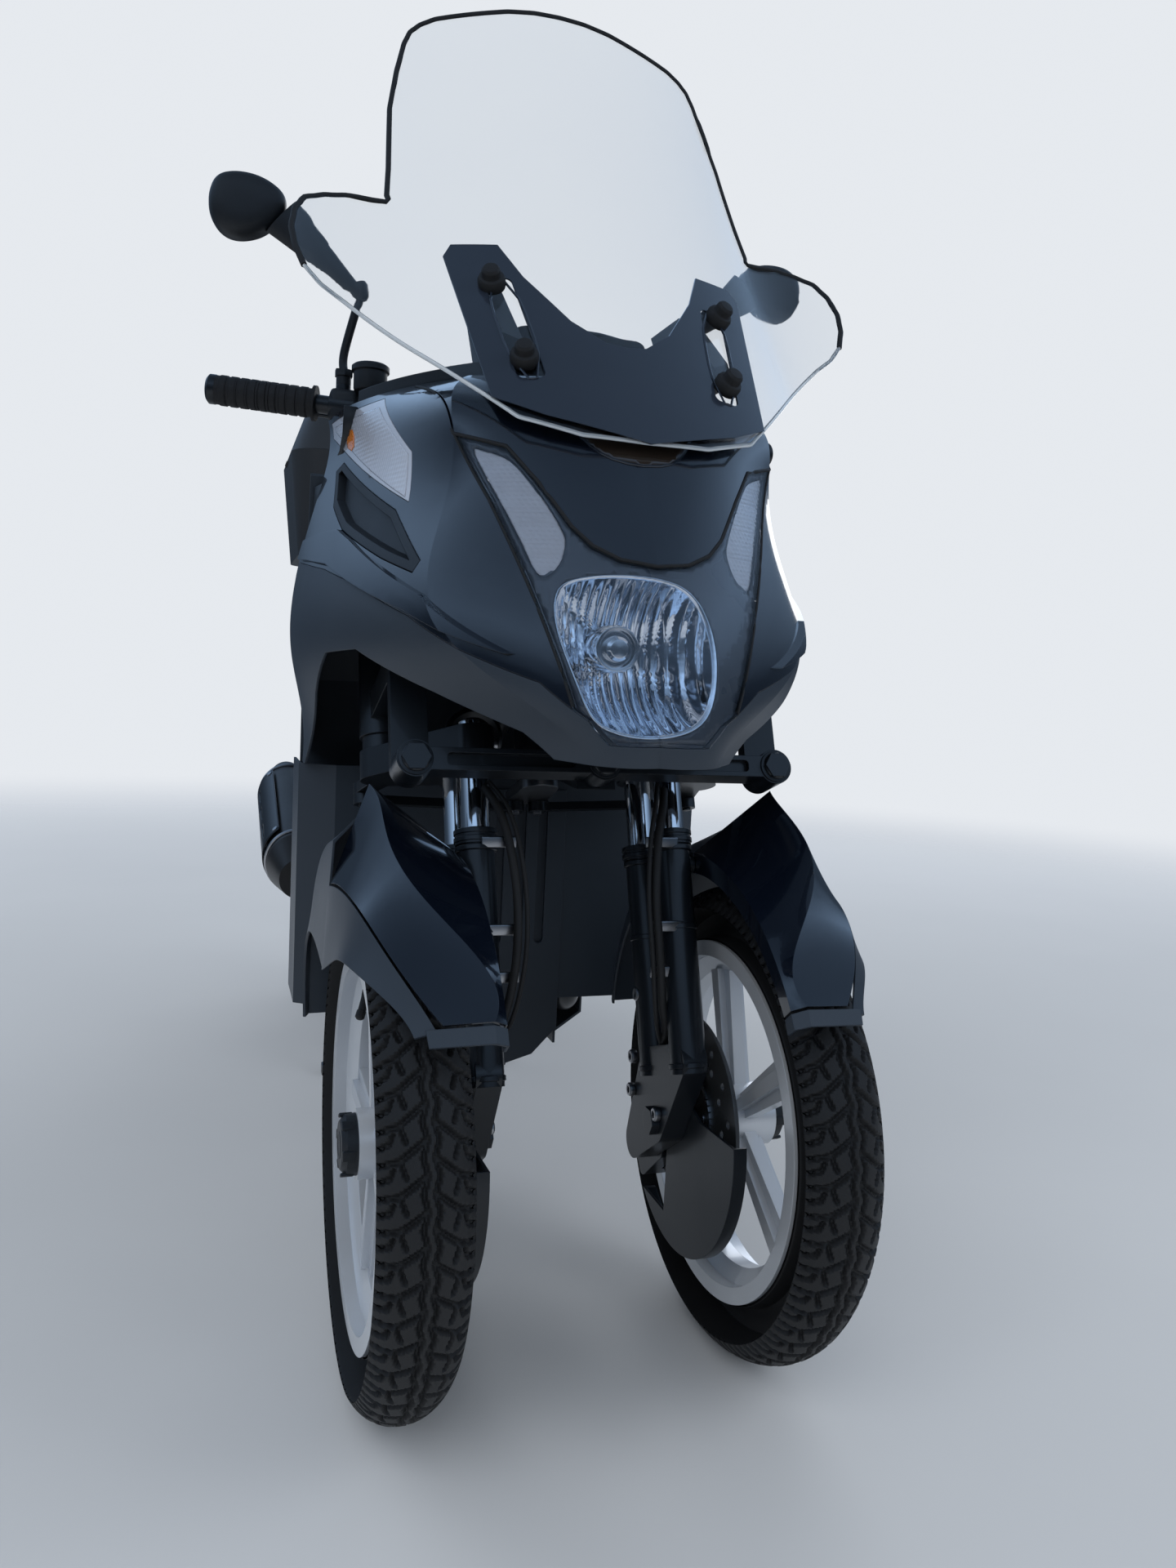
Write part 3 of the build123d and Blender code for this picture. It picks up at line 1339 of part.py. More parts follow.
dash_low = nose_sections[-1][0] + seat_gap
with BuildPart() as dash:
    with BuildSketch(Plane.XY.offset(dash_low)):
        with BuildLine():
            nose_outline(nose_sections[-1], 1)
        make_face()
        with Locations((0, dash_rear + 200)):
            Rectangle(700, 400, mode=Mode.SUBTRACT)
    extrude(amount=dash_high - dash_low)
    with BuildSketch(Plane(origin=(0, 120, dash_high), x_dir=(1, 0, 0), z_dir=(0, -0.17, 0.985))):
        RectangleRounded(170, 110, 20)
    with BuildSketch(Plane(origin=(0, 126, dash_high + 42), x_dir=(1, 0, 0), z_dir=(0, 0.34, 0.94))):
        RectangleRounded(150, 84, 18)
    loft()
    for side in (1, -1):
        with BuildSketch(side_plane(side * 96)):
            with BuildLine():
                Polyline((-60, dash_low), (70, dash_low), (140, 1100), (60, 1100), close=True)
            make_face()
        extrude(amount=side * 20)
    add(screen_slab(-200, screen_thickness + seat_gap), mode=Mode.SUBTRACT)
save(dash, "instrument_panel")

# Steering column, handlebar and what it carries

with BuildPart() as column:
    with BuildSketch(column_plane(fork_bridge_low - column_rise)):
        Circle(stem_radius)
    extrude(amount=stem_up - fork_bridge_low + column_rise)
    with BuildSketch(column_plane(fork_bridge_low - column_rise)):
        Circle(22)
        with Locations((tie_rod_offset, tie_rod_arm), (-tie_rod_offset, tie_rod_arm)):
            Circle(tie_rod_eye_radius)
        make_hull()
    extrude(amount=tie_arm_thickness)
    with BuildSketch(column_plane(fork_bridge_low - column_rise)):
        with Locations((tie_rod_offset, tie_rod_arm), (-tie_rod_offset, tie_rod_arm)):
            Circle(tie_rod_pin_radius)
    extrude(amount=-tie_rod_thickness - 3)
save(column, "steering_column")

bar_points = [(-x, y, z) for x, y, z in (bar_end, bar_rise, bar_middle)] + [bar_middle, bar_rise, bar_end]


def bar_sweep(radius):
    """Round bar along the handlebar's line."""
    with BuildPart(mode=Mode.PRIVATE) as made:
        with BuildLine() as bar:
            FilletPolyline(*bar_points, radius=bar_bend)
        with BuildSketch(Plane(origin=bar.line @ 0, z_dir=bar.line % 0)):
            Circle(radius)
        sweep(path=bar.line)
    return made.part


def bar_place(side, along):
    """Plane square to one end of the bar, a distance inward from its tip. Its Z points inward."""
    run = Vector(-side * (bar_end[0] - bar_rise[0]), bar_rise[1] - bar_end[1], bar_rise[2] - bar_end[2]).normalized()
    tip = Vector(side * bar_end[0], bar_end[1], bar_end[2])
    return Plane(origin=tip + run * along, x_dir=(0, 0, 1), z_dir=run)


lever_start = grip_length + 14
with BuildPart() as handlebar:
    add(bar_sweep(bar_radius))
    with BuildSketch(column_plane(clamp_up)):
        Circle(clamp_radius)
    extrude(amount=clamp_top - clamp_up)
    for side in (1, -1):
        # Lever perch and mirror boss, then the lever in front of the grip
        with BuildSketch(bar_place(side, lever_start)):
            Circle(bar_radius + 6)
            with Locations((0, side * 22)):
                RectangleRounded(20, 40, 5)
        extrude(amount=30)
        perch = bar_place(side, lever_start + 15)
        with BuildSketch(Plane.XY.offset(perch.origin.Z + 6)):
            with Locations((perch.origin.X, perch.origin.Y)):
                Circle(9)
        extrude(amount=20)
        with BuildSketch(perch.offset(-lever_start + 8)):
            with Locations((0, side * 44)):
                RectangleRounded(14, 8, 3)
        extrude(amount=lever_start - 2)
        with BuildSketch(perch.offset(-lever_start + 6)):
            with Locations((0, side * 44)):
                Circle(7.5)
        extrude(amount=14)
    with BuildSketch(column_plane(clamp_up)):
        Circle(stem_radius + shaft_clearance)
    extrude(amount=stem_up - clamp_up, mode=Mode.SUBTRACT)
save(handlebar, "handlebar")

with BuildPart() as grips:
    for side in (1, -1):
        with BuildSketch(bar_place(side, -3)):
            Circle(grip_radius)
        extrude(amount=grip_length)
        with BuildSketch(bar_place(side, grip_length - 7)):
            Circle(grip_radius + 4)
        extrude(amount=4)
        for step in range(9):
            with BuildSketch(bar_place(side, 8 + 12 * step)):
                Circle(grip_radius + 1)
            extrude(amount=7)
        with BuildSketch(bar_place(side, 0)):
            Circle(bar_radius + shaft_clearance)
        extrude(amount=grip_length, mode=Mode.SUBTRACT)
save(grips, "grips")

cover_low = 984
cover_high = 1048
with BuildPart() as bar_cover:
    for inset, low, high, mode in ((0, cover_low, cover_high, Mode.ADD), (panel, cover_low - 1, cover_high - panel, Mode.SUBTRACT)):
        with BuildSketch(Plane.XY.offset(low)):
            with Locations((0, 326)):
                RectangleRounded(206 - 2 * inset, 66 - 2 * inset, 16)
        with BuildSketch(Plane.XY.offset(high)):
            with Locations((0, 332)):
                RectangleRounded(176 - 2 * inset, 56 - 2 * inset, 14)
        loft(mode=mode)
    add(bar_sweep(bar_radius + seat_gap), mode=Mode.SUBTRACT)
save(bar_cover, "handlebar_cover")

# Mirrors: threaded foot on the lever perch, rod, tapering arm and oval housing
with BuildPart() as mirrors:
    for side in (1, -1):
        foot = bar_place(side, lever_start + 15).origin
        foot_z = foot.Z + 26 + seat_gap
        mirror_x, mirror_y, mirror_z = mirror_middle
        with BuildSketch(Plane.XY.offset(foot_z)):
            with Locations((foot.X, foot.Y)):
                Circle(8)
        extrude(amount=14)
        with BuildLine() as rod:
            Polyline((foot.X, foot.Y, foot_z + 10), (side * 205, mirror_y - 6, 1164))
        with BuildSketch(Plane(origin=rod.line @ 0, z_dir=rod.line % 0)):
            Circle(5)
        sweep(path=rod.line)
        arm_start = Vector(side * 202, mirror_y - 6, 1160)
        arm_stop = Vector(side * (mirror_x - mirror_half_width + 8), mirror_y - 2, mirror_z - 6)
        run = (arm_stop - arm_start).normalized()
        with BuildSketch(Plane(origin=arm_start, x_dir=(0, 1, 0), z_dir=run)):
            Ellipse(8, 10)
        with BuildSketch(Plane(origin=arm_stop, x_dir=(0, 1, 0), z_dir=run)):
            Ellipse(9, 26)
        loft()
        face = Plane(origin=(side * mirror_x, mirror_y, mirror_z), x_dir=(1, 0, 0), z_dir=(0, -1, 0))
        for start, stop, scale_in, scale_out in ((-mirror_depth / 2, 0, 1.0, 0.96), (0, mirror_depth / 2, 0.96, 0.6)):
            for place, scale in ((start, scale_in), (stop, scale_out)):
                with BuildSketch(face.offset(place)):
                    RectangleRounded(2 * mirror_half_width * scale, 2 * mirror_half_height * scale, 26 * scale)
            loft()
        with BuildSketch(face.offset(-mirror_depth / 2)):
            RectangleRounded(2 * mirror_half_width - 10, 2 * mirror_half_height - 10, 22)
        extrude(amount=2, mode=Mode.SUBTRACT)
save(mirrors, "mirrors")

# Stands

with BuildPart() as centre_stand:
    with BuildSketch(side_plane(0)):
        with Locations((stand_y, stand_z)):
            Circle(11)
    extrude(amount=stand_tube_half, both=True)
    for side in (1, -1):
        with BuildLine() as leg_line:
            Polyline((side * 28, stand_y - 2, stand_z - 6), (side * (stand_foot_x - 5), stand_y - stand_forward, 12))
        with BuildSketch(Plane(origin=leg_line.line @ 0, z_dir=leg_line.line % 0)):
            Circle(10)
        sweep(path=leg_line.line)
        with BuildSketch(Plane.XY):
            with Locations((side * stand_foot_x, stand_y - stand_forward)):
                RectangleRounded(34, 30, 6)
        extrude(amount=16)
    with BuildSketch(side_plane(0)):
        with Locations((stand_y - stand_forward / 2, stand_z / 2)):
            Circle(8)
    extrude(amount=88, both=True)
    with BuildSketch(side_plane(0)):
        with Locations((stand_y, stand_z)):
            Circle(stand_pin_radius + shaft_clearance)
    extrude(amount=stand_tube_half, both=True, mode=Mode.SUBTRACT)
save(centre_stand, "centre_stand")

with BuildPart() as side_stand:
    with BuildSketch(stand_plane(5)):
        Circle(14)
        with Locations((side_stand_length, 0)):
            Circle(15)
    extrude(amount=12)
    with BuildSketch(stand_plane(6)):
        with Locations((side_stand_length / 2, 0)):
            Rectangle(side_stand_length, 20)
    extrude(amount=10)
    with BuildSketch(stand_plane(5)):
        Circle(stand_pin_radius + shaft_clearance)
    extrude(amount=12, mode=Mode.SUBTRACT)
save(side_stand, "side_stand")
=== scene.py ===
from math import atan2, cos, hypot, pi, radians, sin, tan

import bmesh
import bpy
import numpy as np
from mathutils import Matrix, Vector
from mathutils.bvhtree import BVHTree
from mathutils.geometry import delaunay_2d_cdt

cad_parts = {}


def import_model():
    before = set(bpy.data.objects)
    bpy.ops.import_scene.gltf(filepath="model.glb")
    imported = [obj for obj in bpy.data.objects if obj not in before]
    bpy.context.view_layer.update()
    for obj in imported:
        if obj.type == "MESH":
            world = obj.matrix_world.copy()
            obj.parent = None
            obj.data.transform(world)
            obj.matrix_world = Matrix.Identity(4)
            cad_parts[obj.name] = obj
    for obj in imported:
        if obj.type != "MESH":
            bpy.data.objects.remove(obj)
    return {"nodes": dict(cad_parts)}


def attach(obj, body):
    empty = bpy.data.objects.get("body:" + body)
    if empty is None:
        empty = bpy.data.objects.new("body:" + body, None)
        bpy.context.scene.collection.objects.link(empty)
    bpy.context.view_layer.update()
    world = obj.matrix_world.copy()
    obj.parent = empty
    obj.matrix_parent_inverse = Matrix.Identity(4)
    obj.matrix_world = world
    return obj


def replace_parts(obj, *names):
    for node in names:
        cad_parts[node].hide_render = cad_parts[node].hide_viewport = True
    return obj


# Looks of the leaning three-wheel scooter. The front faces -Y, and the scooter's left is +X. Sizes are
# millimetres, and places are vectors in metres.

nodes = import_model()["nodes"]
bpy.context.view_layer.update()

MM = 0.001
MIDDLE_Y = 772.5
HALF_TRACK = 192.5
WHEELBASE = 1310
FRONT_RADIUS = 250
REAR_RADIUS = 251
REAR_AXLE_Z = 256
CASTER = radians(20)
KINGPIN_Z = 568
KINGPIN_Y = KINGPIN_Z * tan(CASTER) - 68
SHOCK_TURN = radians(11.5)
SIDES = (("left", 1), ("right", -1))


def at(x, y, z):
    """Place measured from the ground point between the front wheels."""
    return Vector((x * MM, (y - MIDDLE_Y) * MM, z * MM))


def step_by(x, y, z):
    """Short way from one place to another."""
    return Vector((x, y, z)) * MM


def column_point(x, forward, up):
    """Place beside, in front of and above the front wheels' steering axis."""
    y = KINGPIN_Y - forward * cos(CASTER) + up * sin(CASTER)
    z = KINGPIN_Z + forward * sin(CASTER) + up * cos(CASTER)
    return at(x, y, z)


# Materials

def fill(tree, node, inputs):
    """Sets a shader node's inputs. One that is another node's output is linked."""
    for name, value in inputs.items():
        if isinstance(value, bpy.types.NodeSocket):
            tree.links.new(value, node.inputs[name])
        else:
            node.inputs[name].default_value = value


def add_node(tree, kind, inputs=None, **settings):
    """New shader node with its settings and inputs."""
    node = tree.nodes.new(f"ShaderNode{kind}")
    for name, value in settings.items():
        setattr(node, name, value)
    fill(tree, node, inputs or {})
    return node


def grained(name, colour, roughness, metallic=0.0, coat=0.0, spread=0.12, patch=9.0, grain=900.0, bump=0.05,
            rough_spread=0.08, transmission=0.0, ior=1.45, sheen=0.0, edge=1.2):
    """Surface with slow colour and gloss changes, a fine grain and softened edges."""
    material = bpy.data.materials.new(name)
    material.use_nodes = True
    tree = material.node_tree
    place = add_node(tree, "TexCoord").outputs["Object"]
    slow = add_node(tree, "TexNoise", {"Scale": patch, "Detail": 4, "Vector": place}).outputs["Fac"]
    darker = (*[c * (1 - spread) for c in colour], 1)
    lighter = (*[min(1, c * (1 + spread)) for c in colour], 1)
    tint = add_node(tree, "Mix", {"A": darker, "B": lighter, "Factor": slow}, data_type="RGBA")
    low, high = max(0.0, roughness - rough_spread), roughness + rough_spread
    gloss = add_node(tree, "MapRange", {"To Min": low, "To Max": high, "Value": slow})
    fine = add_node(tree, "TexNoise", {"Scale": grain, "Detail": 3, "Vector": place})
    relief = add_node(tree, "Bump", {"Strength": bump, "Distance": MM, "Height": fine.outputs["Fac"]})
    if edge:
        rounding = add_node(tree, "Bevel", {"Radius": edge * MM}, samples=4)
        fill(tree, relief, {"Normal": rounding.outputs["Normal"]})
    fill(tree, tree.nodes["Principled BSDF"], {
        "Base Color": tint.outputs["Result"], "Roughness": gloss.outputs["Result"],
        "Normal": relief.outputs["Normal"], "Metallic": metallic, "Coat Weight": coat, "Coat Roughness": 0.03,
        "Transmission Weight": transmission, "IOR": ior, "Sheen Weight": sheen,
    })
    return material


# Paint, plastics and rubber
gloss_black = grained("gloss_black", (0.003, 0.005, 0.010), 0.16, coat=1.0, bump=0.004, rough_spread=0.03)
gloss_brown = grained("gloss_brown", (0.022, 0.017, 0.014), 0.12, coat=1.0, bump=0.003, rough_spread=0.02)
satin_black = grained("satin_black", (0.006, 0.008, 0.011), 0.33, coat=0.15, grain=700, bump=0.05)
visor_satin = grained("visor_satin", (0.016, 0.022, 0.034), 0.20, coat=0.6, bump=0.02)
lamp_mask = grained("lamp_mask", (0.045, 0.062, 0.090), 0.28, coat=0.5, grain=700, bump=0.02)
grey_plastic = grained("grey_plastic", (0.026, 0.035, 0.048), 0.40, grain=1500, bump=0.16)
black_plastic = grained("black_plastic", (0.009, 0.011, 0.014), 0.46, grain=1300, bump=0.15)
case_plastic = grained("case_plastic", (0.020, 0.022, 0.025), 0.42, grain=1200, bump=0.22)
dial_face = grained("dial_face", (0.015, 0.016, 0.02), 0.3, coat=0.5, grain=500, bump=0.02)
white_mark = grained("white_mark", (0.6, 0.6, 0.6), 0.5, grain=500, bump=0.02)
rubber = grained("rubber", (0.012, 0.012, 0.0125), 0.62, grain=1100, bump=0.20, spread=0.25, patch=18)
grip_rubber = grained("grip_rubber", (0.010, 0.010, 0.011), 0.66, grain=1500, bump=0.25)
vinyl = grained("vinyl", (0.014, 0.0145, 0.016), 0.44, grain=800, bump=0.30, sheen=0.1)

# Metals
cast_alloy = grained("cast_alloy", (0.60, 0.63, 0.67), 0.32, metallic=0.45, coat=0.4, bump=0.05, spread=0.07)
engine_alloy = grained("engine_alloy", (0.15, 0.155, 0.16), 0.42, metallic=0.7, grain=600, bump=0.16)
muffler_black = grained("muffler_black", (0.016, 0.016, 0.017), 0.38, metallic=0.3, grain=500, bump=0.08)
steel = grained("steel", (0.42, 0.42, 0.43), 0.30, metallic=1.0, grain=1100, bump=0.06)
disc_steel = grained("disc_steel", (0.16, 0.165, 0.17), 0.34, metallic=0.9, grain=1600, bump=0.10)
chrome = grained("chrome", (0.70, 0.71, 0.73), 0.07, metallic=1.0, grain=500, bump=0.006, rough_spread=0.03,
                 spread=0.04)
reflector = grained("reflector", (0.80, 0.83, 0.88), 0.05, metallic=1.0, grain=300, bump=0.01,
                    rough_spread=0.04)
mirror_glass = grained("mirror_glass", (0.75, 0.77, 0.80), 0.03, metallic=1.0, grain=200, bump=0.002,
                       rough_spread=0.01)

# Lenses
signal_lens = grained("signal_lens", (0.44, 0.48, 0.57), 0.12, coat=1.0, grain=500, bump=0.01,
                      transmission=0.15)
red_lens = grained("red_lens", (0.30, 0.008, 0.010), 0.14, coat=1.0, grain=500, bump=0.01, transmission=0.25)
amber_lens = grained("amber_lens", (0.60, 0.17, 0.01), 0.16, coat=1.0, grain=500, bump=0.01)
# Lower edge of the screen: its pale colour is a painted highlight along the edge
highlight_edge = grained("highlight_edge", (0.80, 0.86, 0.92), 0.08, coat=1.0, grain=300, bump=0.002,
                        transmission=0.4)
clear = grained("clear", (0.96, 0.98, 1.0), 0.004, grain=300, bump=0.002, rough_spread=0.003, spread=0.01,
                transmission=1.0, ior=1.49)
lamp_clear = grained("lamp_clear", (0.97, 0.98, 1.0), 0.004, grain=300, bump=0.002, rough_spread=0.003,
                     spread=0.01, transmission=1.0, ior=1.30)

# A node takes the material with the longest start of its name
FINISHES = (
    (rubber, "front_tyre rear_tyre"), (cast_alloy, "front_rim rear_rim"), (disc_steel, "front_disc"),
    (chrome, "fork_tubes"), (engine_alloy, "engine drive_case"), (muffler_black, "muffler"),
    (gloss_black, "front_fender shield_panel front_cowl tail_cowl"),
    (grey_plastic, "fender_guard lower_cowl leg_shield belly_cover"),
    (satin_black, "fork_ brake tie_rod lean_arms knuckles frame swing_arm rear_shocks"),
    (satin_black, "rear_carrier handlebar centre_stand side_stand"),
    (black_plastic, "hub_cap vent_panels floorboard storage_bin seat_base rear_mudguard instrument_panel"),
    (black_plastic, "handlebar_cover mirrors"), (lamp_clear, "headlight_lens"), (lamp_mask, "headlight"),
    (signal_lens, "turn_signals"), (red_lens, "tail_lamp"), (vinyl, "seat"), (case_plastic, "top_case"),
    (clear, "windshield"), (visor_satin, "visor"), (steel, "steering_column"), (grip_rubber, "grips"),
)
starts = {start: material for material, words in FINISHES for start in words.split()}
for name, thing in nodes.items():
    fitting = [start for start in starts if name.startswith(start)]
    if fitting:
        thing.data.materials.clear()
        thing.data.materials.append(starts[max(fitting, key=len)])

# Shapes: each helper returns a list of corner places and a list of faces

def turned(axis):
    """Two unit directions square to an axis."""
    axis = Vector(axis).normalized()
    side = axis.cross(Vector((0, 0, 1)))
    if side.length < 0.1:
        side = axis.cross(Vector((1, 0, 0)))
    side.normalize()
    return side, axis.cross(side)


def around(count):
    """Angles of even steps around a circle."""
    return [2 * pi * step / count for step in range(count)]


def ring_of(middle, side, up, count):
    """Places on an oval around a middle. side and up are its half axes in millimetres."""
    return [middle + (side * cos(angle) + up * sin(angle)) * MM for angle in around(count)]


def grid_faces(rows, columns, wrap_rows=False, wrap_columns=False):
    """Faces of a grid of corners stored row by row."""
    faces = []
    for row in range(rows if wrap_rows else rows - 1):
        for column in range(columns if wrap_columns else columns - 1):
            here, below = row * columns, (row + 1) % rows * columns
            right = (column + 1) % columns
            faces.append((here + column, here + right, below + right, below + column))
    return faces


def capped(rows, columns):
    """Faces of a row of rings, closed at both ends."""
    ends = [tuple(range(columns))[::-1], tuple(range((rows - 1) * columns, rows * columns))]
    return grid_faces(rows, columns, wrap_columns=True) + ends


def lathe(profile, centre, axis, steps=32):
    """Round body from (radius, place along the axis) pairs, closed at both ends."""
    axis = Vector(axis).normalized()
    side, up = turned(axis)
    corners = []
    for radius, along in profile:
        corners += ring_of(Vector(centre) + axis * (along * MM), side * radius, up * radius, steps)
    return corners, capped(len(profile), steps)


def hexagon_bolt(centre, axis, size, height):
    """Bolt head with six sides on a round washer."""
    washer = [(size * 1.15, 0), (size * 1.15, height * 0.22)]
    head = [(size * 0.95, height * 0.2), (size * 0.95, height * 0.9), (size * 0.8, height)]
    return [lathe(washer, centre, axis, 24), lathe(head, centre, axis, 6)]


def socket_bolt(centre, axis, size, height):
    """Round head with a six-sided socket."""
    steps = 24
    axis = Vector(axis).normalized()
    side, up = turned(axis)
    rim = [(size * 0.92, 0), (size, height * 0.3), (size, height * 0.8), (size * 0.85, height)]
    corners, faces = lathe(rim, centre, axis, steps)
    faces.pop()
    for depth in (height, height * 0.45):
        for angle in around(steps):
            reach = size * 0.48 / cos((angle + pi / 6) % (pi / 3) - pi / 6)
            out = (side * cos(angle) + up * sin(angle)) * reach
            corners.append(Vector(centre) + (axis * depth + out) * MM)
    socket = grid_faces(3, steps, wrap_columns=True)
    faces += [tuple(3 * steps + corner for corner in face) for face in socket]
    faces.append(tuple(range(5 * steps, 6 * steps)))
    return [(corners, faces)]


def tube(points, radius, sides=12, closed=False):
    """Round tube along a row of places."""
    points = [Vector(p) for p in points]
    count = len(points)
    corners, side = [], None
    for number, point in enumerate(points):
        before = points[number - 1] if number or closed else point
        after = points[(number + 1) % count] if number < count - 1 or closed else point
        along = (after - before).normalized()
        if side is None:
            side = turned(along)[0]
        side = (side - along * side.dot(along)).normalized()
        corners += ring_of(point, side * radius, along.cross(side) * radius, sides)
    return corners, grid_faces(count, sides, True, True) if closed else capped(count, sides)


def smooth_line(points, pieces=8):
    """More places along a smooth line through the given ones."""
    points = [Vector(p) for p in points]
    line = []
    for number in range(len(points) - 1):
        a = points[max(number - 1, 0)]
        b, c = points[number], points[number + 1]
        d = points[min(number + 2, len(points) - 1)]
        for step in range(pieces):
            t = step / pieces
            line.append(0.5 * ((2 * b) + (c - a) * t + (2 * a - 5 * b + 4 * c - d) * t * t
                               + (3 * b - a - 3 * c + d) * t ** 3))
    line.append(points[-1])
    return line


def block(centre, size, bevel=0.0, turn=None):
    """Box with softened edges, turned about its middle."""
    mesh = bmesh.new()
    bmesh.ops.create_cube(mesh, size=1.0)
    bmesh.ops.scale(mesh, vec=Vector(size) * MM, verts=mesh.verts)
    if bevel:
        bmesh.ops.bevel(mesh, geom=mesh.edges[:], offset=bevel * MM, segments=3, profile=0.5, affect="EDGES")
    if turn is not None:
        bmesh.ops.transform(mesh, matrix=turn.to_4x4(), verts=mesh.verts)
    bmesh.ops.translate(mesh, vec=Vector(centre), verts=mesh.verts)
    mesh.verts.ensure_lookup_table()
    corners = [v.co.copy() for v in mesh.verts]
    faces = [tuple(v.index for v in f.verts) for f in mesh.faces]
    mesh.free()
    return corners, faces


def strip(outline, direction, depth):
    """Flat plate from an outline, with a thickness along a direction."""
    away = Vector(direction).normalized() * (depth * MM)
    return [*outline, *[place + away for place in outline]], capped(2, len(outline))


def mesh_of(name, shapes):
    """Mesh from several shapes, with its faces turned outwards."""
    corners, faces = [], []
    for shape_corners, shape_faces in shapes:
        first = len(corners)
        corners.extend(tuple(corner) for corner in shape_corners)
        faces.extend(tuple(first + index for index in face) for face in shape_faces)
    mesh = bpy.data.meshes.new(name)
    mesh.from_pydata(corners, [], faces)
    work = bmesh.new()
    work.from_mesh(mesh)
    bmesh.ops.recalc_face_normals(work, faces=work.faces)
    work.to_mesh(mesh)
    work.free()
    return mesh


def shown(name, data):
    """New object in the scene."""
    thing = bpy.data.objects.new(name, data)
    bpy.context.scene.collection.objects.link(thing)
    return thing


def finish(thing, body, material):
    """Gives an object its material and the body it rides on."""
    thing.data.materials.clear()
    thing.data.materials.append(material)
    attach(thing, body)
    return thing


def piece(name, shapes, material, body="chassis", soft=30, thick=0.0):
    """One object from several shapes. thick gives a sheet a thickness towards its back."""
    mesh = mesh_of(name, shapes)
    mesh.shade_smooth()
    mesh.set_sharp_from_angle(angle=radians(soft))
    thing = finish(shown(name, mesh), body, material)
    if thick:
        modifier = thing.modifiers.new("thick", "SOLIDIFY")
        modifier.thickness = thick * MM
        modifier.offset = -1
    return thing


def baked(thing):
    """Turns an object's modifiers into its own mesh."""
    view = bpy.context.evaluated_depsgraph_get()
    mesh = bpy.data.meshes.new_from_object(thing.evaluated_get(view))
    thing.modifiers.clear()
    thing.data = mesh
    return thing


def tree_of(*meshes):
    """Search tree over the faces of some meshes, or of CAD nodes given by name."""
    corners, faces = [], []
    for mesh in meshes:
        mesh = nodes[mesh].data if isinstance(mesh, str) else mesh
        first = len(corners)
        corners.extend(v.co.copy() for v in mesh.vertices)
        faces.extend(tuple(first + index for index in polygon.vertices) for polygon in mesh.polygons)
    return BVHTree.FromPolygons(corners, faces)


def hit(tree, origin, direction):
    """First place on a surface along a ray, with the surface's direction there."""
    place, normal, _, _ = tree.ray_cast(origin, direction)
    if place is None:
        return None, None
    return place, -normal if normal.dot(direction) > 0 else normal


def finder(origin, direction):
    """Finder of places on a surface seen from one side, lifted off it."""
    def find(tree, u, v, lift=0.0):
        place, normal = hit(tree, origin(u, v), direction)
        return None if place is None else place + normal * (lift * MM)
    return find


AHEAD, BACK = Vector((0, -1, 0)), Vector((0, 1, 0))
from_front = finder(lambda x, z: at(x, -1000, z), BACK)
from_back = finder(lambda x, z: at(x, 3000, z), AHEAD)
from_top = finder(lambda x, y: at(x, y, 2500), Vector((0, 0, -1)))
from_side = {
    1: finder(lambda y, z: at(1000, y, z), Vector((-1, 0, 0))),
    -1: finder(lambda y, z: at(-1000, y, z), Vector((1, 0, 0))),
}


def laid(tree, find, pairs, lift=0.0):
    """Places of pairs on a surface, without those that miss it."""
    places = [find(tree, u, v, lift) for u, v in pairs]
    return [place for place in places if place is not None]


def dense(outline, spacing, closed=True):
    """More places along an outline of pairs, about one spacing apart."""
    line = []
    count = len(outline)
    for number in range(count if closed else count - 1):
        (ax, ay), (bx, by) = outline[number], outline[(number + 1) % count]
        steps = max(1, round(hypot(bx - ax, by - ay) / spacing))
        line.extend((ax + (bx - ax) * s / steps, ay + (by - ay) * s / steps) for s in range(steps))
    if not closed:
        line.append(outline[-1])
    return line


def rounded(outline, rounds=2):
    """Closed outline of pairs with its corners cut off."""
    for _ in range(rounds):
        cut = []
        for number, (ax, ay) in enumerate(outline):
            bx, by = outline[(number + 1) % len(outline)]
            cut += [(ax * near + bx * (1 - near), ay * near + by * (1 - near)) for near in (0.75, 0.25)]
        outline = cut
    return outline


def oblong(half_width, half_height, rounds=2, middle=(0, 0)):
    """Rectangle of pairs with its corners cut off."""
    corners = ((-1, -1), (1, -1), (1, 1), (-1, 1))
    return rounded([(middle[0] + a * half_width, middle[1] + b * half_height) for a, b in corners], rounds)


def mirrored(line):
    """Line of pairs on the other side."""
    return [(-x, z) for x, z in line]


def peak(value):
    """Height from 0 to 0.5 that falls and rises once in each unit."""
    return abs(value % 1 - 0.5)


def is_inside(outline, u, v):
    """Whether a pair lies inside a closed outline."""
    found = False
    for number, (au, av) in enumerate(outline):
        bu, bv = outline[(number + 1) % len(outline)]
        if (av > v) != (bv > v) and u < (bu - au) * (v - av) / (bv - av) + au:
            found = not found
    return found


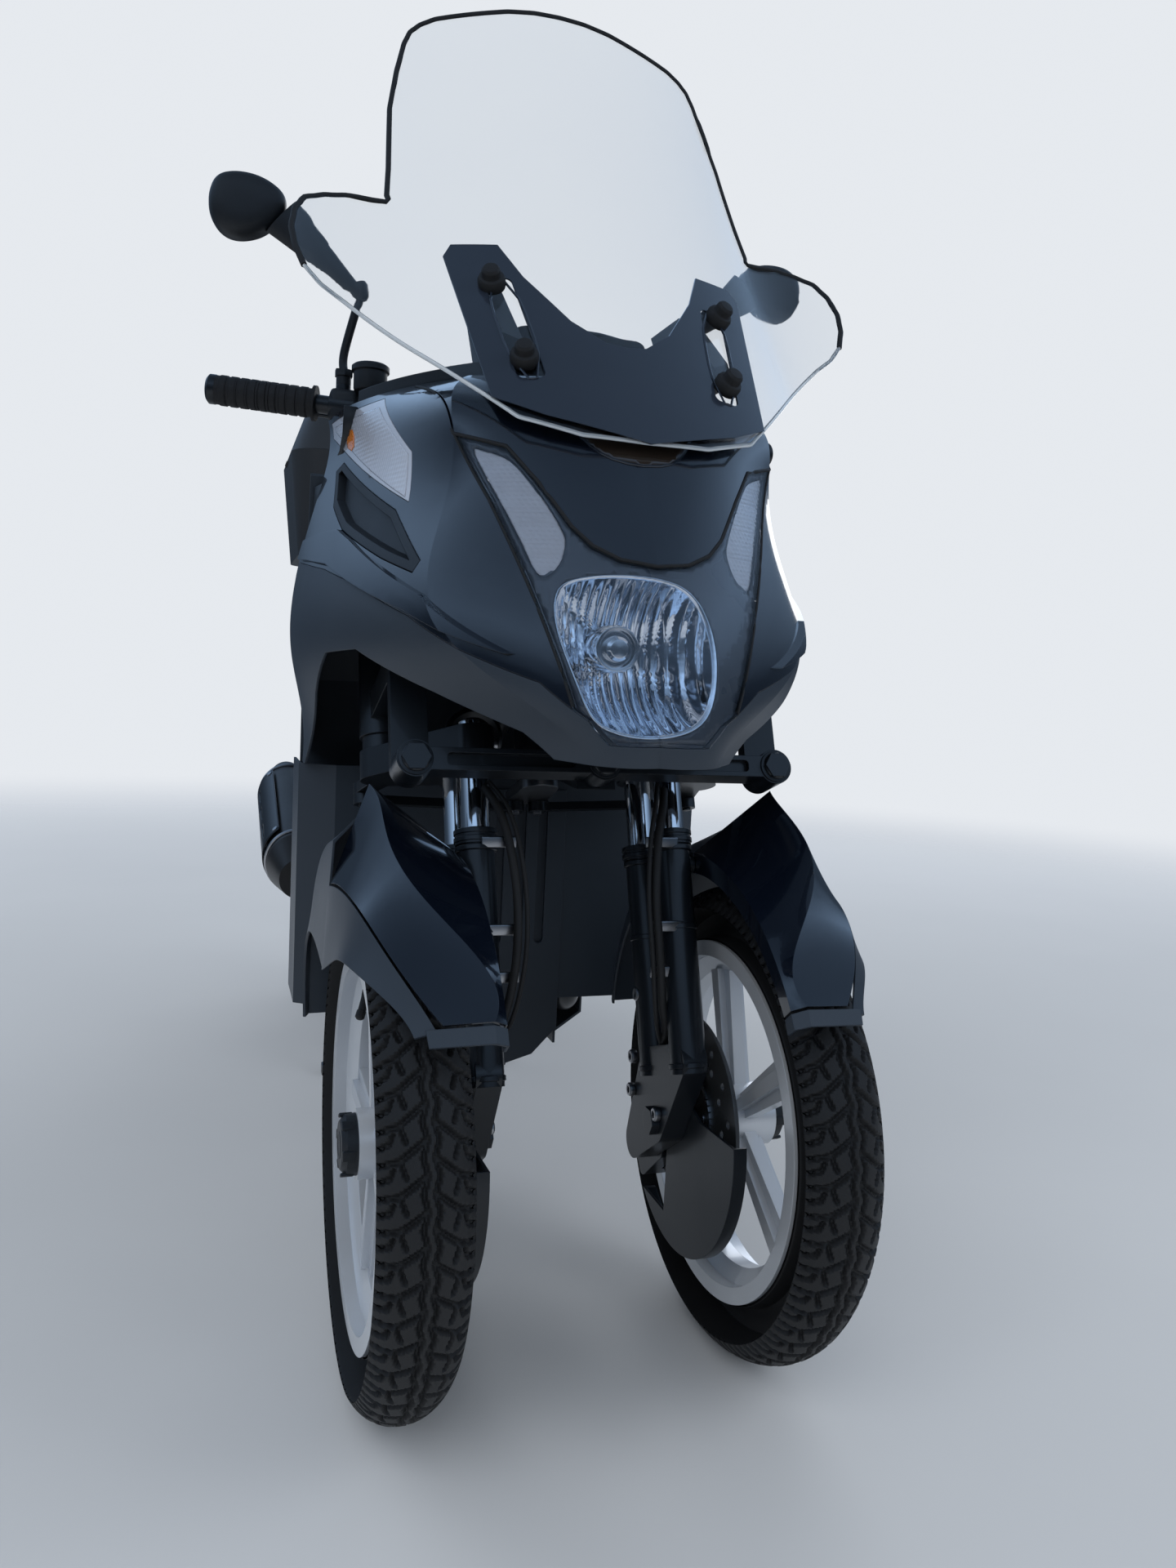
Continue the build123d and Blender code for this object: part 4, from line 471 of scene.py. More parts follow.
def sheet(tree, find, outline, lift=0.5, spacing=4.0, ripple=None, holes=()):
    """Triangles over a surface inside an outline, with clean edges. ripple adds to the lift at a pair."""
    def wanted(u, v):
        return is_inside(outline, u, v) and not any(is_inside(hole, u, v) for hole in holes)

    points, edges = [], []
    for ring in (outline, *holes):
        ring = dense(ring, spacing)
        first = len(points)
        points.extend(Vector(p) for p in ring)
        edges.extend((first + n, first + (n + 1) % len(ring)) for n in range(len(ring)))
    us, vs = [u for u, _ in outline], [v for _, v in outline]
    rim = list(points)
    for row in range(int((max(vs) - min(vs)) / spacing) + 1):
        for column in range(int((max(us) - min(us)) / spacing) + 1):
            u, v = min(us) + (column + 0.5) * spacing, min(vs) + (row + 0.5) * spacing
            pair = Vector((u, v))
            if wanted(u, v) and min((point - pair).length for point in rim) > spacing * 0.45:
                points.append(pair)
    flat, _, faces, _, _, _ = delaunay_2d_cdt(points, edges, [], 1, 1e-5)
    places = [find(tree, u, v, lift + (ripple(u, v) if ripple else 0.0)) for u, v in flat]
    kept = []
    for face in faces:
        u, v = (sum(flat[n][axis] for n in face) / 3 for axis in (0, 1))
        if wanted(u, v) and all(places[n] is not None for n in face):
            kept.append(tuple(face))
    used = sorted({n for face in kept for n in face})
    new = {n: m for m, n in enumerate(used)}
    return [places[n] for n in used], [tuple(new[n] for n in face) for face in kept]


def seam_line(tree, find, points, radius, lift=-0.2, closed=False, spacing=4.0):
    """Thin round line laid along a surface."""
    return tube(laid(tree, find, dense(points, spacing, closed), lift), radius, 8, closed)


# Tyres: the same section as the CAD tyre, with a block tread cut into the crown

def arc(a, b, c, count):
    """Places along the circle through three points of a plane."""
    (ax, ay), (bx, by), (cx, cy) = a, b, c
    d = 2 * (ax * (by - cy) + bx * (cy - ay) + cx * (ay - by))
    ux = ((ax**2 + ay**2) * (by - cy) + (bx**2 + by**2) * (cy - ay) + (cx**2 + cy**2) * (ay - by)) / d
    uy = ((ax**2 + ay**2) * (cx - bx) + (bx**2 + by**2) * (ax - cx) + (cx**2 + cy**2) * (bx - ax)) / d
    radius = hypot(ax - ux, ay - uy)
    start, middle, stop = (atan2(y - uy, x - ux) for x, y in (a, b, c))
    while middle < start:
        middle += 2 * pi
    while stop < middle:
        stop += 2 * pi
    if stop - start > 2 * pi:
        start += 2 * pi
    angles = [start + (stop - start) * i / count for i in range(count + 1)]
    return [(ux + radius * cos(angle), uy + radius * sin(angle)) for angle in angles]


# Groove lines of one tread pitch: along the tread (0 to 1) and across it (-1 to 1), then half width
GROOVES = (
    ((0.00, 0.06), (0.50, 0.14), 1.6), ((0.50, 0.14), (1.00, 0.06), 1.6),
    ((0.00, -0.14), (0.50, -0.06), 1.6), ((0.50, -0.06), (1.00, -0.14), 1.6),
    ((0.05, 0.12), (0.55, 0.52), 1.9), ((0.55, 0.52), (0.72, 0.98), 1.9),
    ((0.55, -0.12), (1.05, -0.52), 1.9), ((1.05, -0.52), (1.22, -0.98), 1.9),
    ((0.55, 0.52), (1.02, 0.42), 1.6), ((1.05, -0.52), (1.52, -0.42), 1.6),
    ((0.05, 0.70), (0.22, 0.98), 1.7), ((0.05, 0.70), (-0.20, 0.64), 1.4),
    ((0.55, -0.70), (0.72, -0.98), 1.7), ((0.55, -0.70), (0.30, -0.64), 1.4),
)
GROOVE_DEPTH = 5.0
# Widest place below the crown as a share of the half width, and the crown's edge in from it and above it
SHOULDER_DROP = 0.72
EDGE_INSET, EDGE_RISE = 4, 8
BEAD_INSET, BEAD_DROP = 4.2, 11.8
CROWN_POINTS = 56
PITCH_STEPS = 14


def tyre_section(radius, width, rim_radius, rim_width):
    """Section of a tyre as (across, radius) pairs, and how many of them lie before its crown."""
    half, foot = width / 2, rim_width / 2 - BEAD_INSET
    widest = radius - half * SHOULDER_DROP
    edge_x, edge_radius = -half + EDGE_INSET, widest + EDGE_RISE
    wall = arc((-foot, rim_radius + 2), (-half, widest - EDGE_RISE), (edge_x, edge_radius), 10)
    wall.sort(key=lambda pair: pair[1])
    crown = arc((-edge_x, edge_radius), (0, radius), (edge_x, edge_radius), CROWN_POINTS)[::-1]
    other_wall = mirrored(reversed(wall))
    bead = rim_radius - BEAD_DROP
    return np.array([(-foot, bead), *wall[:-1], *crown, *other_wall[1:], (foot, bead)]), len(wall)


def groove_depth(rows, across, pitch, reach):
    """Depth of the grooves on a grid of places along the tread and across it."""
    depth = np.zeros((len(rows), len(across)))
    grid_along, grid_across = np.meshgrid(rows, across, indexing="ij")
    px, py = grid_along * pitch, grid_across * reach
    for (along_a, across_a), (along_b, across_b), half_width in GROOVES:
        for turn in (-1, 0, 1):
            ax, ay = (along_a + turn) * pitch, across_a * reach
            run_x, run_y = (along_b - along_a) * pitch, (across_b - across_a) * reach
            share = np.clip(((px - ax) * run_x + (py - ay) * run_y) / (run_x ** 2 + run_y ** 2), 0, 1)
            distance = np.hypot(px - ax - share * run_x, py - ay - share * run_y)
            depth = np.maximum(depth, GROOVE_DEPTH * np.clip((half_width + 1.1 - distance) / 1.4, 0, 1))
    return depth * np.clip((1.0 - np.abs(across)) / 0.06, 0.15, 1)[None, :]


def tread_tyre(name, body, centre, radius, width, rim_radius, rim_width, pitches):
    """Tyre that stands in for the CAD tyre of the same section."""
    profile, start = tyre_section(radius, width, rim_radius, rim_width)
    steps, count = PITCH_STEPS * pitches, len(profile)
    crown = slice(start, start + CROWN_POINTS + 1)
    across, on_crown = np.zeros(count), np.zeros(count, bool)
    across[crown] = np.linspace(-1, 1, CROWN_POINTS + 1)
    on_crown[crown] = True
    reach = hypot(width / 2 - EDGE_INSET, width / 2 * SHOULDER_DROP - EDGE_RISE) * 1.06
    depth = groove_depth(np.arange(steps) / PITCH_STEPS % 1.0, across, 2 * pi * radius / pitches, reach)
    depth[:, ~on_crown] = 0
    slope = np.gradient(profile, axis=0)
    normal = np.stack([-slope[:, 1], slope[:, 0]], -1)
    normal /= np.linalg.norm(normal, axis=1)[:, None]
    outwards = np.where(normal[:, 1] < 0, -1, 1)
    normal[on_crown] *= outwards[on_crown][:, None]
    x, r = (profile[None, :, axis] - normal[None, :, axis] * depth for axis in (0, 1))
    turns = np.arange(steps)[:, None] * 2 * pi / steps
    cx, cy, cz = centre
    places = np.stack([cx + x, cy - MIDDLE_Y + r * np.cos(turns), cz + r * np.sin(turns)], -1) * MM
    faces = grid_faces(steps, count, wrap_rows=True)
    # Inner wall that closes the ring between the beads
    for row in range(steps):
        here, below = row * count, (row + 1) % steps * count
        faces.append((here, below, below + count - 1, here + count - 1))
    tread = piece(f"tread_{name}", [(places.reshape(-1, 3), faces)], rubber, body, soft=28)
    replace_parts(tread, body.replace("wheel", "tyre"))


for side_name, side in SIDES:
    axle = (side * HALF_TRACK, 0, FRONT_RADIUS)
    tread_tyre(f"front_{side_name}", f"front_wheel_{side_name}", axle, FRONT_RADIUS, 90, 190, 66, 56)
tread_tyre("rear", "rear_wheel", (0, WHEELBASE, REAR_AXLE_Z), REAR_RADIUS, 110, 166, 82, 52)

# Headlight: a painted surround with openings, and a fluted reflector with a capped bulb behind the lens

LAMP_EYE = (
    (-88, 752), (-90, 782), (-82, 799), (-56, 806), (-28, 808), (0, 807), (26, 801), (42, 785), (51, 762),
    (54, 735), (50, 700), (37, 679), (6, 668), (-28, 668), (-52, 675), (-64, 688), (-74, 712),
)
HORN = (
    (101, 799), (84, 812), (77, 832), (78, 844), (94, 875), (108, 898), (119, 911), (140, 919), (148, 921),
    (133, 885), (114, 838),
)
LENS_HALF = (
    (0, 642), (63, 661), (77, 704), (105, 792), (132, 872), (156, 931), (119, 919), (97, 887), (73, 848),
    (57, 830), (33, 819),
)
LENS_INSIDE = LENS_HALF + ((0, 815),) + tuple(mirrored(LENS_HALF[:0:-1]))
eye = rounded(LAMP_EYE)
horn_left = rounded(HORN)
horn_right = mirrored(horn_left)[::-1]
lens_tree = tree_of("headlight_lens")
surround = sheet(lens_tree, from_front, LENS_INSIDE, -3.15, 5.0, holes=(eye, horn_left, horn_right))
piece("lamp_surround", [surround], lamp_mask, soft=50, thick=0.6)

# The housing opens behind the surround's openings
HOUSING_FRONT_Y = -260
EYE_DEPTH = 155
HORN_DEPTH = 400
housing = shown("headlight_housing", nodes["headlight"].data.copy())
cutters = []
for outline, depth in ((eye, EYE_DEPTH), (horn_left, HORN_DEPTH), (horn_right, HORN_DEPTH)):
    opening = strip([at(x, HOUSING_FRONT_Y, z) for x, z in outline], BACK, depth)
    cutters.append(shown(f"cutter_{len(cutters)}", mesh_of("cutter", [opening])))
    modifier = housing.modifiers.new("cut", "BOOLEAN")
    modifier.operation = "DIFFERENCE"
    modifier.solver = "EXACT"
    modifier.object = cutters[-1]
baked(housing)
for cutter in cutters:
    bpy.data.objects.remove(cutter)
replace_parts(finish(housing, "chassis", lamp_mask), "headlight")

# The bowl starts at the opening in the surround and goes back in flutes
BOWL_MIDDLE = (-12, 736)
BOWL_BACK_Y = -118
BOWL_CURVE = 2.4
BOWL_RINGS, BOWL_SPOKES = 30, 200
FLUTE_WIDTH, FLUTE_DEPTH = 9.5, 4.6
bowl_rim = dense(eye, 1.0)
bowl = []
for ring in range(BOWL_RINGS + 1):
    share = ring / BOWL_RINGS
    for spoke in range(BOWL_SPOKES):
        rim = bowl_rim[int(spoke / BOWL_SPOKES * len(bowl_rim))]
        rim_y = from_front(lens_tree, *rim, -3.6).y / MM + MIDDLE_Y
        x, z = (middle + (edge - middle) * share for middle, edge in zip(BOWL_MIDDLE, rim))
        flute = peak((x + 200) / FLUTE_WIDTH) * 2
        relief = FLUTE_DEPTH * flute ** 2 * min(1, share * 3) * (1 - share ** 6)
        bowl.append(at(x, BOWL_BACK_Y + (rim_y - BOWL_BACK_Y) * share ** BOWL_CURVE + relief, z))
faces = grid_faces(BOWL_RINGS + 1, BOWL_SPOKES, wrap_columns=True)
piece("reflector_bowl", [(bowl, faces)], reflector, soft=25, thick=1.2)
bulb = at(-30, BOWL_BACK_Y, 744)
cap = [(21, 0), (21, 36), (19.5, 39), (16.5, 38.5), (15.5, 34), (4, 34)]
tip = [(11, 30), (11, 41), (8, 44), (2, 45)]
piece("bulb_cap", [lathe(cap, bulb, AHEAD, 40), lathe(tip, bulb, AHEAD, 28)], chrome)


def honeycomb(u, v):
    """Small cells for the position lamps, as a height."""
    odd_row = int(v // 4) % 2
    return 0.9 * (peak(u / 5 + 0.5 * odd_row) + peak(v / 4))


def squares(u, v):
    """Small square cells for the turn signals, as a height."""
    return 0.55 * (peak(u / 5) + peak(v / 5))


for (side_name, side), outline in zip(SIDES, (horn_left, horn_right)):
    cells = sheet(lens_tree, from_front, outline, -4.9, 1.4, honeycomb)
    piece(f"position_lamp_{side_name}", [cells], signal_lens, soft=20, thick=1.2)

# Black lines along the panel gaps of the nose: painted shade in the gaps between the panels
SHIELD_HALF = ((32, 821), (55, 832), (71, 848), (95, 887), (119, 921), (160, 934), (172, 1006))
LENS_EDGE = ((160, 934), (135, 872), (108, 792), (80, 704), (66, 660))
nose_tree = tree_of("shield_panel", "headlight_lens", "front_cowl")
shield_edge = [*mirrored(SHIELD_HALF[::-1]), (0, 817), *SHIELD_HALF]
seams = [seam_line(nose_tree, from_front, shield_edge, 1.8)]
for line in (LENS_EDGE, mirrored(LENS_EDGE)):
    seams.append(seam_line(nose_tree, from_front, line, 1.3))
piece("nose_gap_shade", seams, rubber, soft=40)

# Dark recess at the top of the shield panel, with a raised rim
RECESS = (
    (-66, 946), (-54, 928), (-38, 914), (-10, 908), (22, 911), (38, 922), (54, 946), (30, 958), (-42, 958),
)
shield_tree = tree_of("shield_panel")
recess = rounded(RECESS, 1)
panel = sheet(shield_tree, from_front, recess, 0.3)
piece("shield_recess", [panel], gloss_brown, soft=40, thick=0.5)
rim = seam_line(shield_tree, from_front, recess, 1.3, 0.1, True, 3.0)
piece("shield_recess_rim", [rim], gloss_black, soft=40)

# Turn signals: pale square cells, and an amber bulb at the top of each
SIGNAL = ((14, 882), (30, 926), (138, 990), (294, 996), (288, 988))
SIGNAL_BULB = ((188, 950), (206, 978), (232, 982), (226, 962))
signal_tree = tree_of("turn_signals")
for side_name, side in SIDES:
    cells = sheet(signal_tree, from_side[side], SIGNAL, 0.25, 1.4, squares)
    piece(f"signal_cells_{side_name}", [cells], signal_lens, soft=20, thick=0.8)
    bulb = sheet(signal_tree, from_side[side], rounded(SIGNAL_BULB, 1), 1.0, 1.6, squares)
    piece(f"signal_bulb_{side_name}", [bulb], amber_lens, soft=20, thick=0.6)

# Screen: rubber edge along the top and the wings, a pale lower edge whose bright colour is a painted
# highlight, and the knobs that hold it
SCREEN_TOP = (
    (289, 1096), (297, 1118), (300, 1140), (296, 1164), (286, 1182), (266, 1192), (244, 1197), (222, 1195),
    (204, 1193), (199, 1240), (193, 1322), (184, 1372), (174, 1412), (167, 1428), (156, 1438), (140, 1446),
    (124, 1450), (90, 1458), (60, 1465), (30, 1469), (0, 1470),
)
SCREEN_LOW = ((289, 1096), (274, 1078), (253, 1062), (200, 1017), (150, 975), (113, 944), (60, 930), (0, 928))
SCREEN_MIDDLE_Z = 1150
screen_tree = tree_of("windshield")


def screen_edge(points):
    """Line along the screen's rim over both halves, found a little inside the rim where the ray misses it."""
    half = []
    for x, z in dense(points, 9.0, closed=False):
        for pull in (0.004, 0.012, 0.02, 0.03):
            found = from_front(screen_tree, x * (1 - pull), z + (SCREEN_MIDDLE_Z - z) * pull)
            if found is not None:
                half.append(Vector((x * MM, found.y + 2 * MM, z * MM)))
                break
    return smooth_line(half + [Vector((-p.x, p.y, p.z)) for p in reversed(half[:-1])], 2)


for name, line, radius, material in (
    ("screen_rubber", SCREEN_TOP, 3.0, rubber), ("screen_polished_edge", SCREEN_LOW, 1.9, highlight_edge),
):
    piece(name, [tube(screen_edge(line), radius, 10)], material, soft=40)
KNOB_PLACES = ((117, 1087), (100, 1002))
knob = [(12.5, -1), (13.5, 2), (13.5, 8), (12, 11), (9.5, 12), (9, 18), (7, 20.5), (1, 21)]
knobs = []
for x, z in KNOB_PLACES:
    for side in (1, -1):
        place, normal = hit(screen_tree, at(side * x, -1000, z), BACK)
        knobs.append(lathe(knob, place, normal, 28))
piece("screen_knobs", knobs, rubber)

# Rims of the slots in the dark panel behind the screen
SLOT_MIDDLE = (104, 1040)
SLOT_LEAN = radians(8)
visor_tree = tree_of("visor")
slot_rims = []
for side in (1, -1):
    lean = side * SLOT_LEAN
    rim = []
    for u, v in oblong(14.5, 57.5):
        x = side * SLOT_MIDDLE[0] + u * cos(lean) + v * sin(lean)
        rim.append((x, SLOT_MIDDLE[1] - u * sin(lean) + v * cos(lean)))
    slot_rims.append(seam_line(visor_tree, from_front, rim, 1.2, 0.2, True))
piece("visor_slot_rims", slot_rims, visor_satin, soft=40)

# Linkage: round caps on the pivots, with a washer under each
pivot_cap = [(16.5, -2), (16.5, 1), (13.5, 1.5), (13.5, 4), (11, 6), (5, 6), (4.5, 4)]
pivot_axis = Vector((0, -cos(CASTER), sin(CASTER)))
caps = [lathe(pivot_cap, column_point(x, 203.5, up), pivot_axis) for x in (-185, 0, 185) for up in (0, 110)]
piece("pivot_caps", caps, satin_black)

# Forks: bolts, seals, brake hose and wire, brake details, and the wheels' fittings
LEG_X = 107
LEG_FORWARD = (98, 10)
# Collars on each leg, as way down the leg and radius, then bolts and hose clips
COLLARS = ((49, 22.6), (57, 22.6), (66, 21.4), (150, 20.0), (292, 20.6))
LEG_BOLTS = ((58, 372), (62, 300), (62, 262), (-14, 262))
HOSE_CLIPS = ((118, -62), (114, -150), (104, -196))
DISC_BOLT_X = 137.6
CALIPER_PLACE = (156.2, 80, 192)
HOSE = (
    (102, 104, 2), (90, 124, -26), (80, 128, -64), (74, 127, -120), (76, 120, -180), (84, 96, -232),
    (96, 68, -258),
)
HOSE_END = ((114, 66, 262), (126, 72, 244), (131, 78, 224))
VALVE_TURN = 0.95
up_leg = Vector((0, sin(CASTER), cos(CASTER)))


def wheel_point(middle, reach, angle):
    """Place beside a wheel's axis."""
    return middle + step_by(0, reach * cos(angle), reach * sin(angle))


for side_name, side in SIDES:
    fork, wheel = f"fork_{side_name}", f"front_wheel_{side_name}"
    outward = Vector((side, 0, 0))
    shapes = []
    for forward in LEG_FORWARD:
        shapes += socket_bolt(column_point(side * (LEG_X - 21), forward, 46), -outward, 6.5, 6)
    for y, z in LEG_BOLTS:
        shapes += socket_bolt(at(side * (LEG_X - 13.5), y, z), -outward, 7.5, 7)
    for forward, up in zip(LEG_FORWARD, (-82, -72)):
        shapes += hexagon_bolt(column_point(side * (LEG_X + 17), forward, up), outward, 6, 5)
    piece(f"fork_bolts_{side_name}", shapes, steel, fork)

    collars = []
    for forward in LEG_FORWARD:
        for down, size in COLLARS:
            ring = [(size - 1.5, -3), (size, -2.2), (size, 2.2), (size - 1.5, 3)]
            collars.append(lathe(ring, column_point(side * LEG_X, forward, -down), up_leg, 40))
    piece(f"fork_seals_{side_name}", collars, satin_black, fork)

    route = [column_point(side * x, forward, up) for x, forward, up in HOSE]
    beside = [place + step_by(-side * 9, -2, 2) for place in route] + [at(side * 120, 34, 300)]
    route += [at(side * x, y, z) for x, y, z in HOSE_END]
    banjo = lathe([(8, -6), (9.5, -5), (9.5, 5), (8, 6)], at(side * 132, 79, 221), (0, 0.5, 1), 24)
    shapes = [tube(smooth_line(route), 4.4), tube(smooth_line(beside), 2.4, 10), banjo]
    piece(f"brake_hose_{side_name}", shapes, rubber, fork, soft=40)
    clips = [block(column_point(side * 88, forward, up), (36, 4, 11), 1) for forward, up in HOSE_CLIPS]
    piece(f"hose_clips_{side_name}", clips, steel, fork, soft=40)

    # Caliper: two bolts, ribs and a bleed screw
    x, y, z = CALIPER_PLACE
    face = at(side * x, y, z)
    slope, rise = Vector((0, 0.766, -0.643)), Vector((0, 0.643, 0.766))
    turn = Matrix((Vector((1, 0, 0)), slope, rise)).transposed()
    shapes = []
    for along in (-26, 26):
        shapes += socket_bolt(face + slope * (along * MM), outward, 7.5, 6)
    shapes += [block(face + slope * (along * MM), (3, 3, 36), 0.8, turn) for along in (-12, -4, 4, 12)]
    shapes.append(lathe([(4, 0), (4, 6), (2.5, 7), (2.5, 12)], at(side * 146, 62, 236), (0, -0.4, 1), 16))
    piece(f"caliper_details_{side_name}", shapes, satin_black, fork)

    # Wheel: ridges on the hub cap, disc bolts, sensor ring and valve
    cap_face = at(side * (HALF_TRACK + 45.5), 0, FRONT_RADIUS)
    ridges = []
    for angle in around(6):
        middle = wheel_point(cap_face - outward * (6.5 * MM), 28.5, angle)
        ridges.append(block(middle, (13, 3.5, 10), 1, Matrix.Rotation(angle, 3, "X")))
    ridges.append(lathe([(13, -2), (13, 0.4), (11, 0.8), (10, 0.2), (2, 0.2)], cap_face, outward))
    piece(f"hub_cap_ridges_{side_name}", ridges, black_plastic, wheel)
    shapes = []
    for angle in around(5):
        middle = wheel_point(at(side * DISC_BOLT_X, 0, FRONT_RADIUS), 34, angle + 0.3)
        shapes += socket_bolt(middle, -outward, 6, 4)
    for angle in around(48):
        middle = wheel_point(at(side * (DISC_BOLT_X - 0.2), 0, FRONT_RADIUS), 49.5, angle)
        shapes.append(block(middle, (3, 3.2, 5.6), 0, Matrix.Rotation(angle, 3, "X")))
    piece(f"disc_bolts_{side_name}", shapes, steel, wheel)
    valve = wheel_point(at(side * (HALF_TRACK + 10), 0, FRONT_RADIUS), 157, VALVE_TURN)
    inward = Vector((side * 0.35, -cos(VALVE_TURN), -sin(VALVE_TURN)))
    stem = [(6, 0), (4.8, 8), (4.2, 22), (5, 23), (5, 30), (3, 32)]
    piece(f"valve_{side_name}", [lathe(stem, valve, inward, 16)], rubber, wheel)

# Horn in the arch behind the nose
horn_cup = [(34, 0), (36, 4), (36, 10), (31, 14), (24, 12), (16, 15), (6, 13), (5, 17), (1, 18)]
horn_place = at(-62, 268, 640)
horn_bracket = block(horn_place + step_by(0, 14, 30), (20, 6, 70), 1)
piece("horn", [lathe(horn_cup, horn_place, (0, -1, 0.1), 48), horn_bracket], satin_black)

# Handlebar: switch boxes, reservoirs, cables, bar ends and ribs on the grips

BAR_TIP = (367, 396, 1045)
BAR_RUN = (-187, -51, -15)
CLAMP_ALONG = 158
GRIP_RIBS, GRIP_RIB_PITCH = 17, 6.4


def bar_run(side):
    """Direction of the handlebar's outer run, inward from its tip."""
    x, y, z = BAR_RUN
    return Vector((x * side, y, z)).normalized()


def bar_point(side, along, across=0.0, over=0.0):
    """Place on the handlebar's outer run, inward from its tip, moved forward and up."""
    x, y, z = BAR_TIP
    return at(side * x, y, z) + bar_run(side) * (along * MM) + step_by(0, -across, over)


for side_name, side in SIDES:
    run = bar_run(side)
    front_axis = Vector((0, 0, 1)).cross(run).normalized()
    axes = Matrix((run, front_axis, run.cross(front_axis))).transposed()
    boxes = [
        block(bar_point(side, CLAMP_ALONG, -6), (36, 44, 40), 7, axes),
        block(bar_point(side, CLAMP_ALONG, -30, 3), (24, 10, 24), 3, axes),
    ]
    piece(f"switch_box_{side_name}", boxes, black_plastic, "steering")
    buttons = [
        block(bar_point(side, CLAMP_ALONG, -29.5, -12), (12, 6, 8), 2, axes),
        block(bar_point(side, CLAMP_ALONG + 8, -29, 12), (8, 6, 8), 2, axes),
    ]
    piece(f"switch_buttons_{side_name}", buttons, satin_black, "steering")
    place, up = bar_point(side, 184, 20, 18), (0, 0.05, 1)
    bottle = [lathe([(19, 0), (20, 3), (20, 22), (22.5, 23), (22.5, 29), (20, 31)], place, up, 36)]
    for x in (-13, 13):
        bottle += socket_bolt(place + step_by(x, 0, 30.5), up, 3, 2)
    piece(f"reservoir_{side_name}", bottle, black_plastic, "steering")
    cables = []
    for number, (start_across, end_x) in enumerate(((12, 84), (-2, 70))):
        start = bar_point(side, 190, start_across, 2 + 4 * number)
        line = smooth_line([start, start + step_by(-side * 35, -8, 8),
                            at(side * (end_x + 60), 326 - 4 * number, 1026), at(side * end_x, 322, 1012)])
        cables.append(tube(line, 3.8 - number, 10))
    piece(f"bar_cables_{side_name}", cables, rubber, "steering", soft=40)
    cap = lathe([(16.5, 0), (17.5, 2), (17.5, 9), (14, 12), (4, 12.2)], bar_point(side, 3), -run)
    piece(f"bar_end_{side_name}", [cap], satin_black, "steering")
    rib = [(16.8, -2.2), (17.8, -1), (17.8, 1), (16.8, 2.2)]
    ribs = [lathe(rib, bar_point(side, 8 + GRIP_RIB_PITCH * step), -run, 30) for step in range(GRIP_RIBS)]
    piece(f"grip_ribs_{side_name}", ribs, grip_rubber, "steering")

# Dial pod: a round scale and two small displays on a face with a raised rim
pod_up, pod_back = Vector((0, 0.34, 0.94)), Vector((0, 0.94, -0.34))
pod_turn = Matrix((Vector((1, 0, 0)), pod_back, pod_up)).transposed()


def on_pod(u, v, over):
    """Place on the dial pod's face: to the side, towards the rider, and above it."""
    return at(0, 126, 1064) + step_by(u, 0, 0) + pod_back * (v * MM) + pod_up * (over * MM)


def mark(u, v, over, size, turn=0.0):
    """Small printed bar on the dial pod's face."""
    return block(on_pod(u, v, over), size, 0, pod_turn @ Matrix.Rotation(turn, 3, "Z"))


DIAL_START, DIAL_SWEEP, DIAL_STEPS = -45, 270, 24
face = strip([on_pod(u, v, 0.1) for u, v in oblong(72, 39)], pod_up, 1.2)
piece("dial_face", [face], dial_face, soft=40)
rim = [on_pod(u, v, 1.5) for u, v in dense(oblong(74, 41), 6.0)]
piece("dial_rim", [tube(rim, 2.6, 10, closed=True)], satin_black, soft=40)
marks = []
for step in range(DIAL_STEPS + 1):
    angle = radians(DIAL_START + DIAL_SWEEP * step / DIAL_STEPS)
    reach, size = (29, (6, 1.2, 0.6)) if step % 4 else (27, (10, 2, 0.6))
    marks.append(mark(-reach * cos(angle), -reach * sin(angle) + 2, 1.6, size, -angle))
marks.append(mark(-14, -6, 2.4, (30, 1.4, 0.8), radians(24)))
marks += [mark(u, v, 1.6, (4, 1.4, 0.6)) for u in (-58, -52, -46, 46, 52, 58) for v in (-12, -4, 4, 12)]
piece("dial_marks", marks, white_mark, soft=40)
hub = lathe([(5, 0), (5, 3), (3, 4)], on_pod(0, 2, 1.4), pod_up, 24)
piece("dial_hub", [hub], satin_black)

# Shelf between the dash and the inner panel, with a rubber boot around the steering column
COLUMN_FOOT = (195, 640)
SHELF_Z = 956
SHELF_HALF = 232
SHELF_COLUMNS = 40
# Rows as y and z, where the y of -1 and 1 stand for the front and the back of the column's hole
SHELF_ROWS = ((212, 1004), (222, 975), (250, 960), (-1, 957), (1, 957), (340, 955), (366, 951))
HOLE_DEPTH, HOLE_HALF = 30, 60
boot_y = COLUMN_FOOT[0] + (SHELF_Z - COLUMN_FOOT[1]) * tan(CASTER)
corners = []
for y, z in SHELF_ROWS:
    for column in range(SHELF_COLUMNS + 1):
        x = SHELF_HALF * (column / SHELF_COLUMNS * 2 - 1)
        hole = boot_y + y * HOLE_DEPTH * max(0.0, 1 - abs(x) / HOLE_HALF) ** 0.5
        corners.append(at(x, hole if abs(y) == 1 else y, z))
hole_front = range(3 * (SHELF_COLUMNS + 1), 4 * (SHELF_COLUMNS + 1))
faces = [face for face in grid_faces(len(SHELF_ROWS), SHELF_COLUMNS + 1) if min(face) not in hole_front]
piece("cockpit_shelf", [(corners, faces)], black_plastic, soft=50, thick=2.0)
boot = [(34, -4), (30, 2), (31, 5), (24, 9), (25, 12), (18.5, 16)]
corners, faces = lathe(boot, at(0, boot_y, SHELF_Z - 3), up_leg, 40)
piece("column_boot", [(corners, faces[:-2])], rubber, soft=60)

